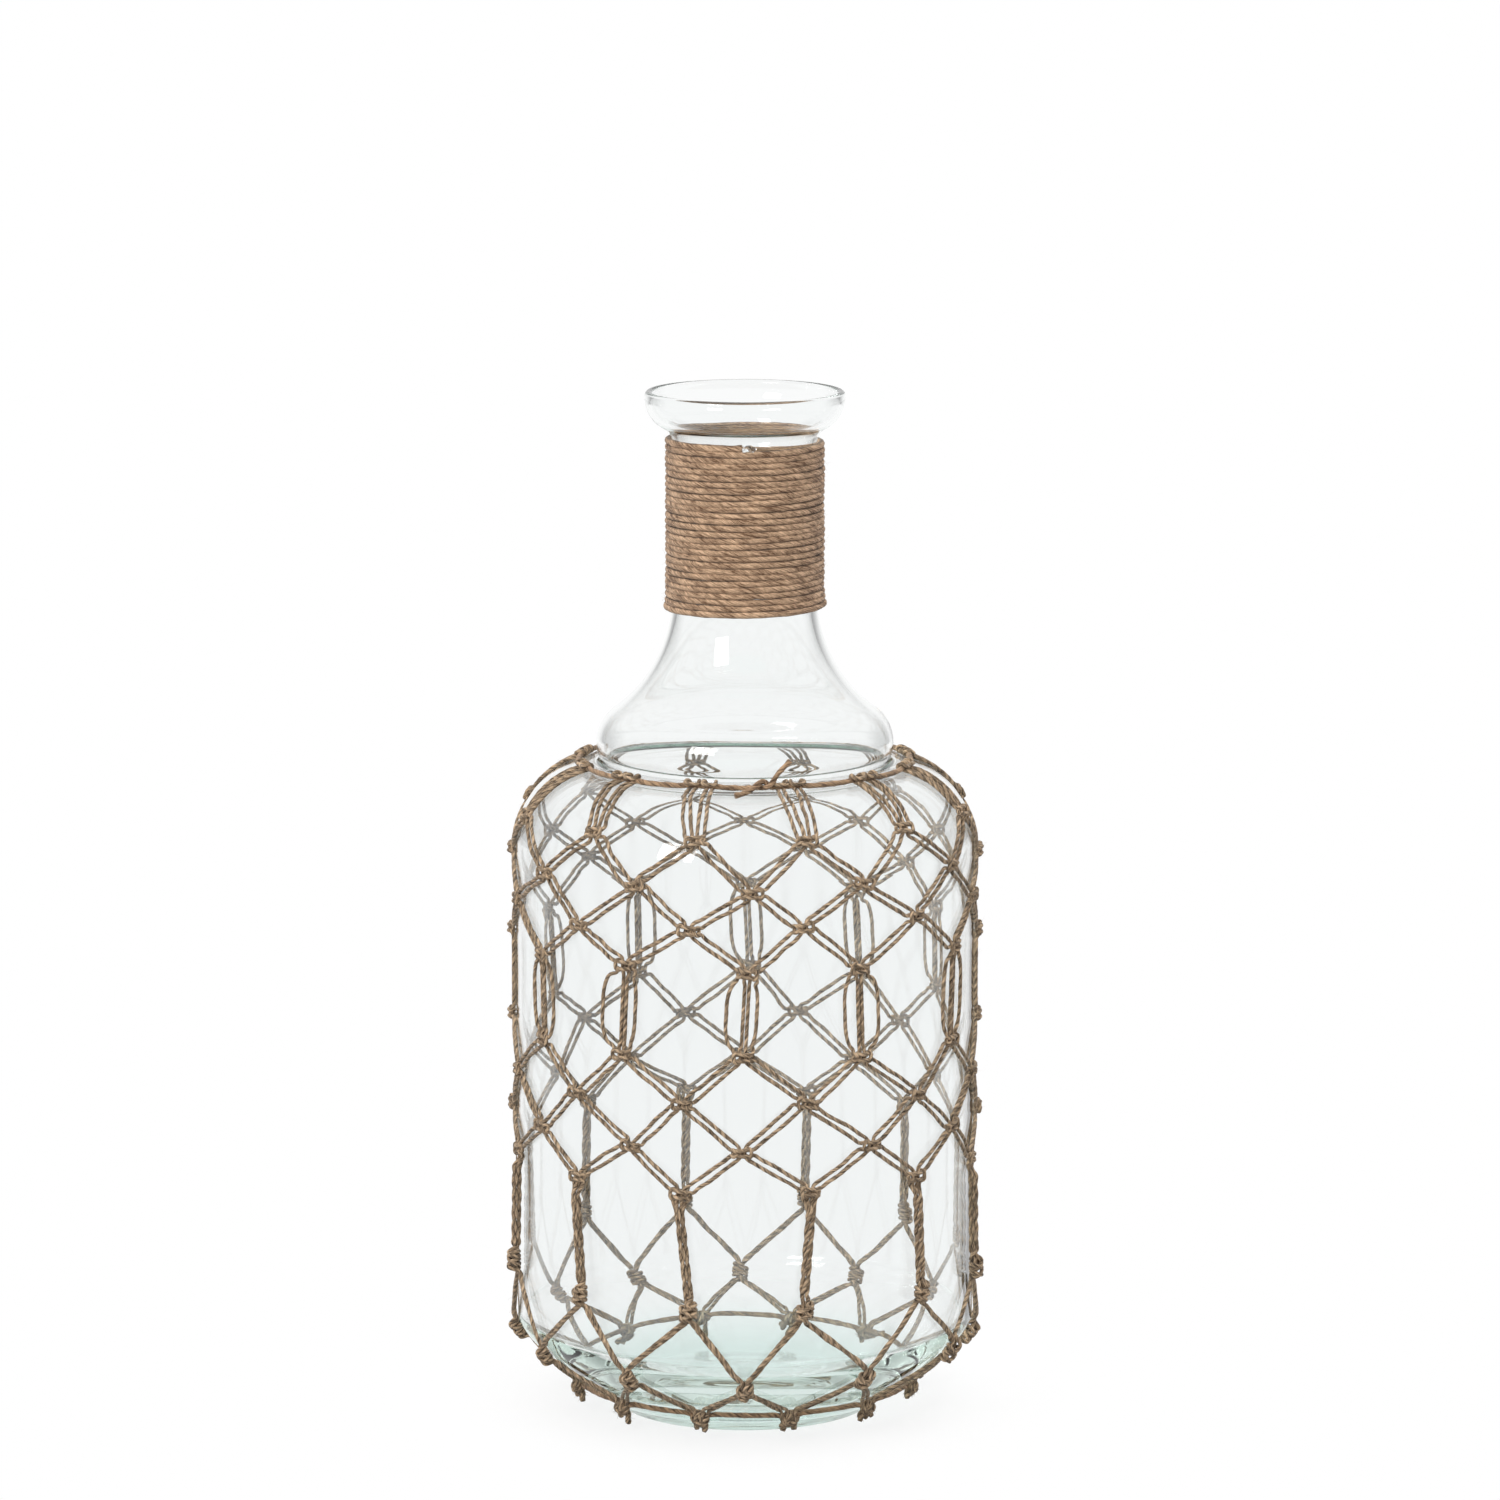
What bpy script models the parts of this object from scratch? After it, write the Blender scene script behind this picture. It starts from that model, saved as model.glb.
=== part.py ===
"""Bottle vase of clear blown glass, dressed in jute.

The glass is a wide bottle with a cup mouth, a straight neck, a small bulb over a
round shoulder, a straight wall and a steep heel. A jute twine is wound round the
neck. A net of twenty-four doubled jute cords hangs on a ring cord that lies on the
shoulder, and is tied to a second ring cord under the heel. Metres, +Z up, the
origin at the centre of the flat foot, the front towards -Y.
"""

import math

import bmesh
import bpy
import numpy as np
from mathutils import Vector

# Glass, outside. Heights are above the foot.
TOTAL_HEIGHT = 0.4968
CUP_RADIUS = 0.0480
CUP_ROUND = 0.0155
CUP_FILLET = 0.0080
RIM_DEPTH = 0.0039
NECK_RADIUS = 0.0348
NECK_SWEEP = 0.0700
BULB_DROP = 0.1704
BULB_ROUND = 0.0200
BULB_OVERHANG = 0.0007
BULB_RISE = 0.0094
BODY_RADIUS = 0.1110
SHOULDER_ROUND = 0.0400
HEEL_HEIGHT = 0.0449
HEEL_ANGLE = 40.0
HEEL_REACH = 0.0214
HEEL_DROP = 0.0112
FOOT_RADIUS = 0.0620

# The bulb's middle lies its drop below the rim, and the bulb stands on the crown of the shoulder.
BULB_HEIGHT = TOTAL_HEIGHT - BULB_DROP
BULB_RADIUS = BODY_RADIUS - SHOULDER_ROUND + BULB_OVERHANG
SHOULDER_HEIGHT = BULB_HEIGHT - BULB_RISE - SHOULDER_ROUND

# Glass, wall.
GLASS_WALL = 0.0030
BASE_THICKNESS = 0.0085
GROOVE_DEPTH = 0.0010
GLASS_FACETS = 36
OUTSIDE_POINTS = (4, 3, 5, 5, 6)
INSIDE_POINTS = (3, 2, 4, 4, 4)

# Jute.
CLEARANCE = 0.0003
TWINE_DIAMETER = 0.0030
WINDING_GAP = 0.00042
WINDING_REACH = 0.0020
WINDING_LAP = 0.0086
TURN_POINTS = 16
RING_DIAMETER = 0.0030
SHOULDER_RING_OUTSET = 0.0074
BASE_RING_OUTSET = 0.0192
SHOULDER_RING_RADIUS = BODY_RADIUS - SHOULDER_ROUND + SHOULDER_RING_OUTSET
BASE_RING_RADIUS = FOOT_RADIUS + BASE_RING_OUTSET
RING_FACETS = 36
STRAND_WIDTH = 0.0024
STRAND_DEPTH = 0.0022

# Net. Eight rows of square knots, then two rows of larger knots, each at its share of the
# way over the glass from the shoulder ring to the base ring.
COLUMNS = 12
ROW_SHARES = (0.1069, 0.1726, 0.2300, 0.2914, 0.4211, 0.4855, 0.5523, 0.6116, 0.7821, 0.8945)
KNOT_WIDTH = 0.0125
KNOT_HEIGHT = 0.0080
KNOT_DEPTH = 0.0050
BIG_KNOT_WIDTH = 0.0110
BIG_KNOT_HEIGHT = 0.0120
BIG_KNOT_DEPTH = 0.0076
BIG_KNOT_LIFT = 0.0008
TIE_WIDTH = 0.0096
TIE_APPROACH = 0.0060
TIE_DEPTH = 0.0038
STRAND_LIFT = 0.0015
SHOULDER_LIFT = 0.0010
LOOP_BOW = 0.0080
BUNDLE_CORD = 0.0024
BUNDLE_RADIUS = 0.00155
BUNDLE_TURNS = 1
BUNDLE_POINTS = 6
LEG_WIDTH = 0.0036
TAIL_WIDTH = 0.0026
TAIL_REACH = 0.0045
TAIL_DROP = 0.0070

# Tie of the shoulder ring, a little right of the front.
BEAD_AZIMUTH = 6.5
BEAD_LENGTH = 0.0080
BEAD_WIDTH = 0.0056
BEAD_SIDES = 8
RING_END_LENGTH = 0.0110
RING_END_DIAMETER = 0.0024

# Shares of the sizes that they follow: of a knot's width and height for where its
# strands enter and how blunt its side is, and of the ring's seat for the hook.
INNER_STRAND_SHARE = 0.13
OUTER_STRAND_SHARE = 0.39
OUTER_ENTRY_SHARE = 0.28
BLUNT_SHARE = 0.22
LEG_SHARE = 0.24
HOOK_BACK_SHARES = ((-1.35, -0.80), (-1.10, 1.06), (1.10, 1.06), (3.05, -0.28))
HOOK_FRONT_SHARES = ((-2.55, -0.80), (-1.85, 1.95), (1.70, 2.00), (3.40, 0.95))
BIG_KNOT_BELLY_SHARE = 0.20
TAIL_ROOT_SHARE = 0.55
INNER_FOOT_SHARE = 0.97

GLASS_COLOUR = (0.86, 0.93, 0.92, 1.0)
TWINE_COLOUR = (0.52, 0.31, 0.16, 1.0)
RING_COLOUR = (0.30, 0.19, 0.10, 1.0)
NET_COLOUR = (0.27, 0.18, 0.11, 1.0)


def clear_scene():
    for obj in list(bpy.data.objects):
        bpy.data.objects.remove(obj, do_unlink=True)


def material(name, colour, roughness, transmission=0.0):
    made = bpy.data.materials.new(name)
    made.use_nodes = True
    shader = made.node_tree.nodes["Principled BSDF"]
    shader.inputs["Base Color"].default_value = colour
    shader.inputs["Roughness"].default_value = roughness
    shader.inputs["Metallic"].default_value = 0.0
    shader.inputs["Transmission Weight"].default_value = transmission
    made.diffuse_color = colour
    return made


def arc(radius_at, height_at, size, start, end, count):
    """Points of an arc in the profile plane, from one angle to another, in degrees."""
    angles = np.radians(np.linspace(start, end, count))
    return [(radius_at + size * math.cos(a), height_at + size * math.sin(a)) for a in angles]


def bezier(points, count):
    """Points along a cubic curve in the profile plane."""
    a, b, c, d = (np.array(p) for p in points)
    t = np.linspace(0.0, 1.0, count)[:, None]
    line = (1 - t) ** 3 * a + 3 * (1 - t) ** 2 * t * b + 3 * (1 - t) * t**2 * c + t**3 * d
    return [tuple(p) for p in line]


def heel(inset, count):
    """The curve from the straight wall down to the foot, or to the floor inside."""
    radius = BODY_RADIUS - inset
    top = HEEL_HEIGHT + inset
    foot = (FOOT_RADIUS * INNER_FOOT_SHARE, BASE_THICKNESS) if inset else (FOOT_RADIUS, 0.0)
    angle = math.radians(HEEL_ANGLE)
    run = (foot[0] + HEEL_REACH * math.cos(angle), foot[1] + HEEL_REACH * math.sin(angle))
    return bezier([(radius, top), (radius, top - HEEL_DROP), run, foot], count)


def bend(centre, size, neck, turn):
    """An arc of that centre and size meets another that ends on the neck: the two middles' offset."""
    across = neck + turn - centre
    return across, math.sqrt((size + turn) ** 2 - across**2)


def neck_ends():
    """Heights of the upper and the lower end of the straight neck."""
    cup_rise = bend(CUP_RADIUS - CUP_ROUND, CUP_ROUND, NECK_RADIUS, CUP_FILLET)[1]
    bulb_rise = bend(BULB_RADIUS - BULB_ROUND, BULB_ROUND, NECK_RADIUS, NECK_SWEEP)[1]
    return TOTAL_HEIGHT - RIM_DEPTH - cup_rise, BULB_HEIGHT + bulb_rise


def side_profile(inset, counts):
    """The glass from the cup down to the end of the shoulder, moved inwards by inset."""
    cup_centre = (CUP_RADIUS - CUP_ROUND, TOTAL_HEIGHT - RIM_DEPTH)
    round_cup = CUP_ROUND - inset
    fillet = CUP_FILLET + inset
    neck = NECK_RADIUS - inset
    across, rise = bend(cup_centre[0], round_cup, neck, fillet)
    lean = math.degrees(math.atan2(rise, across))
    cup, collar, sweep, bulb, shoulder = counts
    line = arc(*cup_centre, round_cup, 0.0, -lean, cup)
    line += arc(neck + fillet, cup_centre[1] - rise, fillet, 180.0 - lean, 180.0, collar)[1:]
    bulb_centre = BULB_RADIUS - BULB_ROUND
    round_bulb = BULB_ROUND - inset
    round_sweep = NECK_SWEEP + inset
    across, rise = bend(bulb_centre, round_bulb, neck, round_sweep)
    lean = math.degrees(math.atan2(rise, across))
    line += arc(neck + round_sweep, BULB_HEIGHT + rise, round_sweep, 180.0, 180.0 + lean, sweep)
    crown = SHOULDER_HEIGHT + SHOULDER_ROUND - inset
    sink = math.degrees(math.asin((BULB_RISE + inset) / round_bulb))
    line += arc(bulb_centre, BULB_HEIGHT, round_bulb, lean, -sink, bulb)[1:]
    middle = BODY_RADIUS - SHOULDER_ROUND
    groove = ((line[-1][0] + middle) / 2, crown - GROOVE_DEPTH / 2)
    return line + [groove] + arc(middle, SHOULDER_HEIGHT, SHOULDER_ROUND - inset, 90.0, 0.0, shoulder)


def glass_profile():
    """The whole wall as one line: up the inside from the floor, over the rim, down the outside."""
    inside = side_profile(GLASS_WALL, INSIDE_POINTS) + heel(GLASS_WALL, 4)
    outside = side_profile(0.0, OUTSIDE_POINTS) + heel(0.0, 6)
    lip = GLASS_WALL / 2
    rim = arc(CUP_RADIUS - lip, TOTAL_HEIGHT - lip, lip, 180.0, 0.0, 5)
    return [(0.0, BASE_THICKNESS)] + inside[::-1] + rim + outside + [(0.0, 0.0)]


def make_bottle(home):
    """The glass, a profile turned round the vertical axis."""
    line = glass_profile()
    mesh = bpy.data.meshes.new("glass_bottle")
    mesh.from_pydata([(r, 0.0, z) for r, z in line], [(i, i + 1) for i in range(len(line) - 1)], [])
    bottle = bpy.data.objects.new("glass_bottle", mesh)
    home.objects.link(bottle)
    screw = bottle.modifiers.new("turn", "SCREW")
    screw.axis = "Z"
    screw.steps = screw.render_steps = GLASS_FACETS
    screw.use_merge_vertices = True
    screw.merge_threshold = 0.00001
    screw.use_smooth_shade = True
    mesh.materials.append(material("clear_glass", GLASS_COLOUR, 0.02, 1.0))
    return bottle


def neck_radius_at(height):
    """The outer radius of the glass at a height on the neck or its sweep."""
    line = side_profile(0.0, OUTSIDE_POINTS)
    radii, heights = np.array(line).T
    neck = slice(int(np.argmin(radii)), int(np.argmax(heights < BULB_HEIGHT)))
    return float(np.interp(-height, -heights[neck], radii[neck]))


def winding_path():
    """A helix that follows the neck from the back up to the front, each end straight for one diameter."""
    step = 2 * math.pi / TURN_POINTS
    chord_dip = NECK_RADIUS * (1 / math.cos(step / 2) - 1)
    seat = CLEARANCE + TWINE_DIAMETER / 2 + chord_dip
    top, bottom = neck_ends()
    low = bottom - WINDING_LAP + TWINE_DIAMETER / 2
    high = top + WINDING_REACH - TWINE_DIAMETER / 2
    whole_turns = round((high - low) / (TWINE_DIAMETER + WINDING_GAP) - 1 / 2)
    count = round((whole_turns + 1 / 2) * TURN_POINTS) + 1
    path = []
    for i in range(count):
        height = low + (high - low) * i / (count - 1)
        radius = neck_radius_at(height - TWINE_DIAMETER / 2) + seat
        angle = math.pi + i * step
        path.append(Vector((radius * math.sin(angle), -radius * math.cos(angle), height)))
    first = path[0] + (path[0] - path[1]).normalized() * TWINE_DIAMETER
    last = path[-1] + (path[-1] - path[-2]).normalized() * TWINE_DIAMETER
    return [first] + path + [last]


def least_turn_gap(path):
    """The smallest gap of the twine to itself, from a finely divided copy of its path."""
    points = np.array(path)
    fine = np.concatenate([points[:-1] + (points[1:] - points[:-1]) * t for t in (0.0, 0.25, 0.5, 0.75)])
    place = np.concatenate([np.arange(len(points) - 1) + t for t in (0.0, 0.25, 0.5, 0.75)])
    least = math.inf
    for i, point in enumerate(fine):
        apart = np.abs(place - place[i]) > TURN_POINTS / 2
        least = min(least, float(np.linalg.norm(fine[apart] - point, axis=1).min()))
    return least - TWINE_DIAMETER


def tube(name, path, diameter, sides, home, closed=False):
    """A round cord along a path of points, with flat ends."""
    curve = bpy.data.curves.new(name, "CURVE")
    curve.dimensions = "3D"
    curve.bevel_depth = diameter / 2
    curve.bevel_resolution = (sides - 4) // 2
    curve.use_fill_caps = not closed
    spline = curve.splines.new("POLY")
    spline.points.add(len(path) - 1)
    for point, place in zip(spline.points, path):
        point.co = (*place, 1.0)
    spline.use_cyclic_u = closed
    obj = bpy.data.objects.new(name, curve)
    home.objects.link(obj)
    return obj


def as_mesh(obj, home):
    """A curve made a mesh whose caps are joined to its sides."""
    graph = bpy.context.evaluated_depsgraph_get()
    mesh = bpy.data.meshes.new_from_object(obj.evaluated_get(graph))
    work = bmesh.new()
    work.from_mesh(mesh)
    bmesh.ops.remove_doubles(work, verts=work.verts, dist=CLEARANCE / 100)
    work.to_mesh(mesh)
    work.free()
    name = obj.name
    made = bpy.data.objects.new(name + "_mesh", mesh)
    made.matrix_world = obj.matrix_world
    home.objects.link(made)
    bpy.data.objects.remove(obj, do_unlink=True)
    made.name = name
    return made


def make_winding(home):
    path = winding_path()
    print("least gap of the winding to itself: %.2f mm" % (1000 * least_turn_gap(path)))
    winding = tube("neck_winding", path, TWINE_DIAMETER, 4, home)
    winding.data.materials.append(material("neck_twine", TWINE_COLOUR, 0.9))
    return winding


class Outline:
    """The glass where the net lies, from the crown of the shoulder down to the foot."""

    def __init__(self):
        middle = BODY_RADIUS - SHOULDER_ROUND
        shoulder = arc(middle, SHOULDER_HEIGHT, SHOULDER_ROUND, 90.0, 0.0, 91)
        self.bend = len(shoulder)
        self.line = np.array(shoulder + heel(0.0, 61))
        steps = np.hypot(*np.diff(self.line, axis=0).T)
        self.along = np.concatenate([[0.0], np.cumsum(steps)])

    def on_shoulder(self, radius):
        return float(np.interp(radius, self.line[: self.bend, 0], self.along[: self.bend]))

    def under_heel(self, radius):
        return float(np.interp(-radius, -self.line[self.bend :, 0], self.along[self.bend :]))

    def here(self, along):
        return np.array([np.interp(along, self.along, self.line[:, k]) for k in (0, 1)])

    def point(self, along, lift):
        """Radius and height of a point lifted off the glass."""
        spread = SHOULDER_ROUND / 40
        down = self.here(along + spread) - self.here(along - spread)
        down = down / np.linalg.norm(down)
        radius, height = self.here(along)
        return radius - down[1] * lift, height + down[0] * lift

    def place(self, azimuth, across, along, lift):
        """A point in space: azimuth in degrees from the front, across to the right on the glass."""
        radius, height = self.point(along, lift)
        angle = math.radians(azimuth) + across / radius
        return Vector((radius * math.sin(angle), -radius * math.cos(angle), height))


class NetCord:
    """One doubled cord of the net, as a chain of sections that change from two strands to one body.

    The cord is laid out for the right half of its own column and the left half of the
    next one. A hand of -1 mirrors it. A section is a list of corners in space: six for a
    pair of strands, each a triangle with its flat side on the glass, and four for a knot,
    a twisted run, a leg or an end.
    """

    def __init__(self, outline, hand):
        self.outline = outline
        self.hand = hand
        self.half = 180.0 / COLUMNS
        self.sections = []

    def put(self, turn, across, along, lift):
        azimuth = self.half + self.hand * turn * self.half
        return self.outline.place(azimuth, self.hand * across, along, lift)

    def pair(self, turn, starts, lift, runs=((0.0, 1.0), (0.0, 1.0))):
        """Two strands, each at (across, along), square to the way it runs."""
        corners = []
        for (across, along), (sideways, down) in zip(starts, runs):
            reach = (down * STRAND_WIDTH / 2, -sideways * STRAND_WIDTH / 2)
            corners.append(self.put(turn, across - reach[0], along - reach[1], lift))
            corners.append(self.put(turn, across, along, lift + STRAND_DEPTH))
            corners.append(self.put(turn, across + reach[0], along + reach[1], lift))
        self.sections.append(corners)

    def block(self, turn, sides, along, left_lifts, right_lifts):
        """A four-cornered section between two sides, each with its own back and front lift."""
        left, right = sides
        self.sections.append([
            self.put(turn, left, along, left_lifts[0]),
            self.put(turn, left, along, left_lifts[1]),
            self.put(turn, right, along, right_lifts[1]),
            self.put(turn, right, along, right_lifts[0]),
        ])

    def knot(self, turn, along, width, depth, lift):
        """The widest section of a half-knot, blunt at its outer side and flat at the parting."""
        parting = CLEARANCE / 2
        blunt = (lift + depth * BLUNT_SHARE, lift + depth * (1 - BLUNT_SHARE))
        full = (lift, lift + depth)
        if turn:
            self.block(turn, (-width / 2, -parting), along, blunt, full)
        else:
            self.block(turn, (parting, width / 2), along, full, blunt)

    def leg(self, turn, across, along, lift, run):
        """A section of the two strands laid close together, square to the way they run."""
        reach = (run[1] * LEG_WIDTH / 2, -run[0] * LEG_WIDTH / 2)
        left = (across - reach[0], along - reach[1])
        right = (across + reach[0], along + reach[1])
        self.sections.append([
            self.put(turn, *left, lift),
            self.put(turn, *left, lift + STRAND_DEPTH),
            self.put(turn, *right, lift + STRAND_DEPTH),
            self.put(turn, *right, lift),
        ])

    def strand_ends(self, turn, along, way):
        """Where the two strands meet a square knot, above it for way -1 and below it for way 1."""
        inner = (KNOT_WIDTH * INNER_STRAND_SHARE, along + way * KNOT_HEIGHT / 2)
        outer = (KNOT_WIDTH * OUTER_STRAND_SHARE, along + way * KNOT_HEIGHT * OUTER_ENTRY_SHARE)
        if turn:
            return [(-outer[0], outer[1]), (-inner[0], inner[1])]
        return [inner, outer]

    def run(self, upper, lower):
        """The two strands from one square knot to the next, with the side loops bowed out."""
        (turn_a, along_a), (turn_b, along_b) = upper, lower
        ends_a = self.strand_ends(turn_a, along_a, 1)
        ends_b = self.strand_ends(turn_b, along_b, -1)
        reach = math.radians(self.half) * self.outline.point((along_a + along_b) / 2, 0.0)[0]
        runs = []
        for a, b in zip(ends_a, ends_b):
            way = Vector((b[0] - a[0] + (turn_b - turn_a) * reach, b[1] - a[1])).normalized()
            runs.append(tuple(way))
        self.pair(turn_a, ends_a, STRAND_LIFT, runs)
        if turn_a == turn_b and turn_a:
            middle = (along_a + along_b) / 2
            self.pair(turn_a, [(-LOOP_BOW, middle), (ends_a[1][0], middle)], STRAND_LIFT)
        self.pair(turn_b, ends_b, STRAND_LIFT, runs)

    def hook(self, ring):
        """The fold of the cord, laid over the ring cord from inside, and its two strands."""
        seat = CLEARANCE + RING_DIAMETER / 2
        inner = KNOT_WIDTH * INNER_STRAND_SHARE
        outer = KNOT_WIDTH * OUTER_STRAND_SHARE
        half_strand = STRAND_WIDTH / 2
        (back_s, back_l), (front_s, front_l) = HOOK_BACK_SHARES[0], HOOK_FRONT_SHARES[0]
        fold = [(back_s, back_l), (front_s, front_l), (front_s, front_l), (back_s, back_l)]
        sides = [inner - half_strand, inner - half_strand, outer + half_strand, outer + half_strand]
        self.sections.append([
            self.put(0, side, ring + s * seat, seat + lift * seat) for side, (s, lift) in zip(sides, fold)
        ])
        for (back_s, back_l), (front_s, front_l) in zip(HOOK_BACK_SHARES[1:], HOOK_FRONT_SHARES[1:]):
            corners = []
            for across in (inner, outer):
                back = (ring + back_s * seat, seat + back_l * seat)
                front = (ring + front_s * seat, seat + front_l * seat)
                corners.append(self.put(0, across - half_strand, *back))
                corners.append(self.put(0, across, *front))
                corners.append(self.put(0, across + half_strand, *back))
            self.sections.append(corners)

    def shoulder_run(self, ring, first):
        """The middle of the run down the shoulder, close to the glass."""
        across = (KNOT_WIDTH * INNER_STRAND_SHARE, KNOT_WIDTH * OUTER_STRAND_SHARE)
        below_hook = ring + HOOK_BACK_SHARES[-1][0] * (CLEARANCE + RING_DIAMETER / 2)
        middle = (below_hook + first - KNOT_HEIGHT / 2) / 2
        self.pair(0, [(x, middle) for x in across], SHOULDER_LIFT)

    def big_knot(self, turn, along):
        """Half of a larger knot, with two sections of full width for its belly."""
        belly = BIG_KNOT_HEIGHT * BIG_KNOT_BELLY_SHARE
        for place in (along - belly, along + belly):
            self.knot(turn, place, BIG_KNOT_WIDTH, BIG_KNOT_DEPTH, BIG_KNOT_LIFT)

    def twist(self, upper, lower):
        """This cord's half of the twisted run: it goes round the run's own axis with its twin."""
        count = BUNDLE_TURNS * BUNDLE_POINTS
        centre = CLEARANCE + BUNDLE_CORD / 2 + BUNDLE_RADIUS
        half = BUNDLE_CORD / 2 * math.cos(math.pi / 4)
        for i in range(count + 1):
            angle = 2 * math.pi * i / BUNDLE_POINTS
            across = BUNDLE_RADIUS * math.cos(angle)
            lift = centre + self.hand * BUNDLE_RADIUS * math.sin(angle)
            along = upper + (lower - upper) * i / count
            lifts = (lift - half, lift + half)
            self.block(0, (across - half, across + half), along, lifts, lifts)

    def lower_run(self, upper, lower):
        """A leg between two places given as (turn, along), its middle kept on the glass."""
        (turn_a, along_a), (turn_b, along_b) = upper, lower
        across = BIG_KNOT_WIDTH * LEG_SHARE
        start = -across if turn_a else across
        end = -across if turn_b else across
        reach = math.radians(self.half) * self.outline.point((along_a + along_b) / 2, 0.0)[0]
        way = Vector((end - start + (turn_b - turn_a) * reach, along_b - along_a)).normalized()
        self.leg(turn_a, start, along_a, STRAND_LIFT, way)
        self.leg((turn_a + turn_b) / 2, (start + end) / 2, (along_a + along_b) / 2, STRAND_LIFT, way)
        self.leg(turn_b, end, along_b, STRAND_LIFT, way)

    def tie(self, ring):
        """The cord's half of the tie, over the ring cord under the heel, and its cut end."""
        over = 2 * CLEARANCE + RING_DIAMETER + CLEARANCE
        self.knot(0, ring, TIE_WIDTH, TIE_DEPTH, over)
        middle = TIE_WIDTH / 4
        sides = (middle - TAIL_WIDTH / 2, middle + TAIL_WIDTH / 2)
        root = (over, over + TIE_DEPTH * (1 - BLUNT_SHARE))
        self.block(0, sides, ring + TAIL_REACH * TAIL_ROOT_SHARE, root, root)
        end = (TAIL_DROP, TAIL_DROP + STRAND_DEPTH)
        self.block(0, sides, ring + TAIL_REACH, end, end)

    def lay(self):
        """All the sections in order, from the fold on the ring to the cut end under the heel."""
        turns = (0, 1, 0, 1, 1, 0, 1, 0)
        ring = self.outline.on_shoulder(SHOULDER_RING_RADIUS)
        base_ring = self.outline.under_heel(BASE_RING_RADIUS)
        *rows, upper, lower = (ring + share * (base_ring - ring) for share in ROW_SHARES)
        self.hook(ring)
        self.shoulder_run(ring, rows[0])
        self.pair(0, self.strand_ends(0, rows[0], -1), STRAND_LIFT)
        for here, below in zip(zip(turns, rows), zip(turns[1:], rows[1:])):
            self.knot(*here, KNOT_WIDTH, KNOT_DEPTH, CLEARANCE)
            self.run(here, below)
        self.knot(turns[-1], rows[-1], KNOT_WIDTH, KNOT_DEPTH, CLEARANCE)
        half_knot = BIG_KNOT_HEIGHT / 2
        self.twist(rows[-1] + KNOT_HEIGHT / 2, upper - half_knot)
        self.big_knot(0, upper)
        self.lower_run((0, upper + half_knot), (1, lower - half_knot))
        self.big_knot(1, lower)
        self.lower_run((1, lower + half_knot), (0, base_ring - TIE_APPROACH))
        self.tie(base_ring)
        return self.sections


def join_sections(work, upper, lower):
    """Faces between two neighbouring sections, and the web where two strands part from one body."""
    pair_pair = len(upper) == 6 and len(lower) == 6
    if pair_pair:
        for first in (0, 3):
            for k in range(3):
                a, b = first + k, first + (k + 1) % 3
                work.faces.new((upper[a], upper[b], lower[b], lower[a]))
        return
    if len(upper) == len(lower):
        for k in range(4):
            work.faces.new((upper[k], upper[(k + 1) % 4], lower[(k + 1) % 4], lower[k]))
        return
    strands, body = (upper, lower) if len(upper) == 6 else (lower, upper)
    left, left_top, left_inner, right_inner, right_top, right = strands
    left_back, left_front, right_front, right_back = body
    work.faces.new((left, left_top, left_front, left_back))
    work.faces.new((left_top, right_top, right_front, left_front))
    work.faces.new((right_top, right, right_back, right_front))
    work.faces.new((right, right_inner, right_back))
    work.faces.new((right_inner, left_inner, left_back, right_back))
    work.faces.new((left_inner, left, left_back))
    work.faces.new((left_top, left_inner, right_inner, right_top))


def net_mesh(name, outline, hand, colour):
    """One cord of the net as a loft through its sections."""
    work = bmesh.new()
    rings = [[work.verts.new(corner) for corner in section] for section in NetCord(outline, hand).lay()]
    for upper, lower in zip(rings, rings[1:]):
        join_sections(work, upper, lower)
    work.faces.new(rings[0])
    work.faces.new(rings[-1])
    bmesh.ops.recalc_face_normals(work, faces=work.faces)
    mesh = bpy.data.meshes.new(name)
    work.to_mesh(mesh)
    work.free()
    mesh.materials.append(colour)
    return mesh


def make_net(home, outline):
    """Two cords at each column, a left one and its mirror image."""
    colour = material("net_jute", NET_COLOUR, 0.9)
    for word, hand in (("left", -1), ("right", 1)):
        mesh = net_mesh("net_cord_" + word, outline, hand, colour)
        for column in range(COLUMNS):
            cord = bpy.data.objects.new("net_cord_%s_%02d" % (word, column + 1), mesh)
            cord.rotation_euler.z = 2 * math.pi * column / COLUMNS
            home.objects.link(cord)


def ring_cord(name, outline, along, home):
    """A closed ring of cord that lies on the glass."""
    radius, height = outline.point(along, CLEARANCE + RING_DIAMETER / 2)
    bpy.ops.mesh.primitive_torus_add(
        major_radius=radius,
        minor_radius=RING_DIAMETER / 2,
        major_segments=RING_FACETS,
        minor_segments=6,
        location=(0.0, 0.0, height),
    )
    ring = bpy.context.object
    ring.name = ring.data.name = name
    for owner in list(ring.users_collection):
        owner.objects.unlink(ring)
    home.objects.link(ring)
    ring.data.materials.append(material(name + "_jute", RING_COLOUR, 0.9))
    return ring


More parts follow.
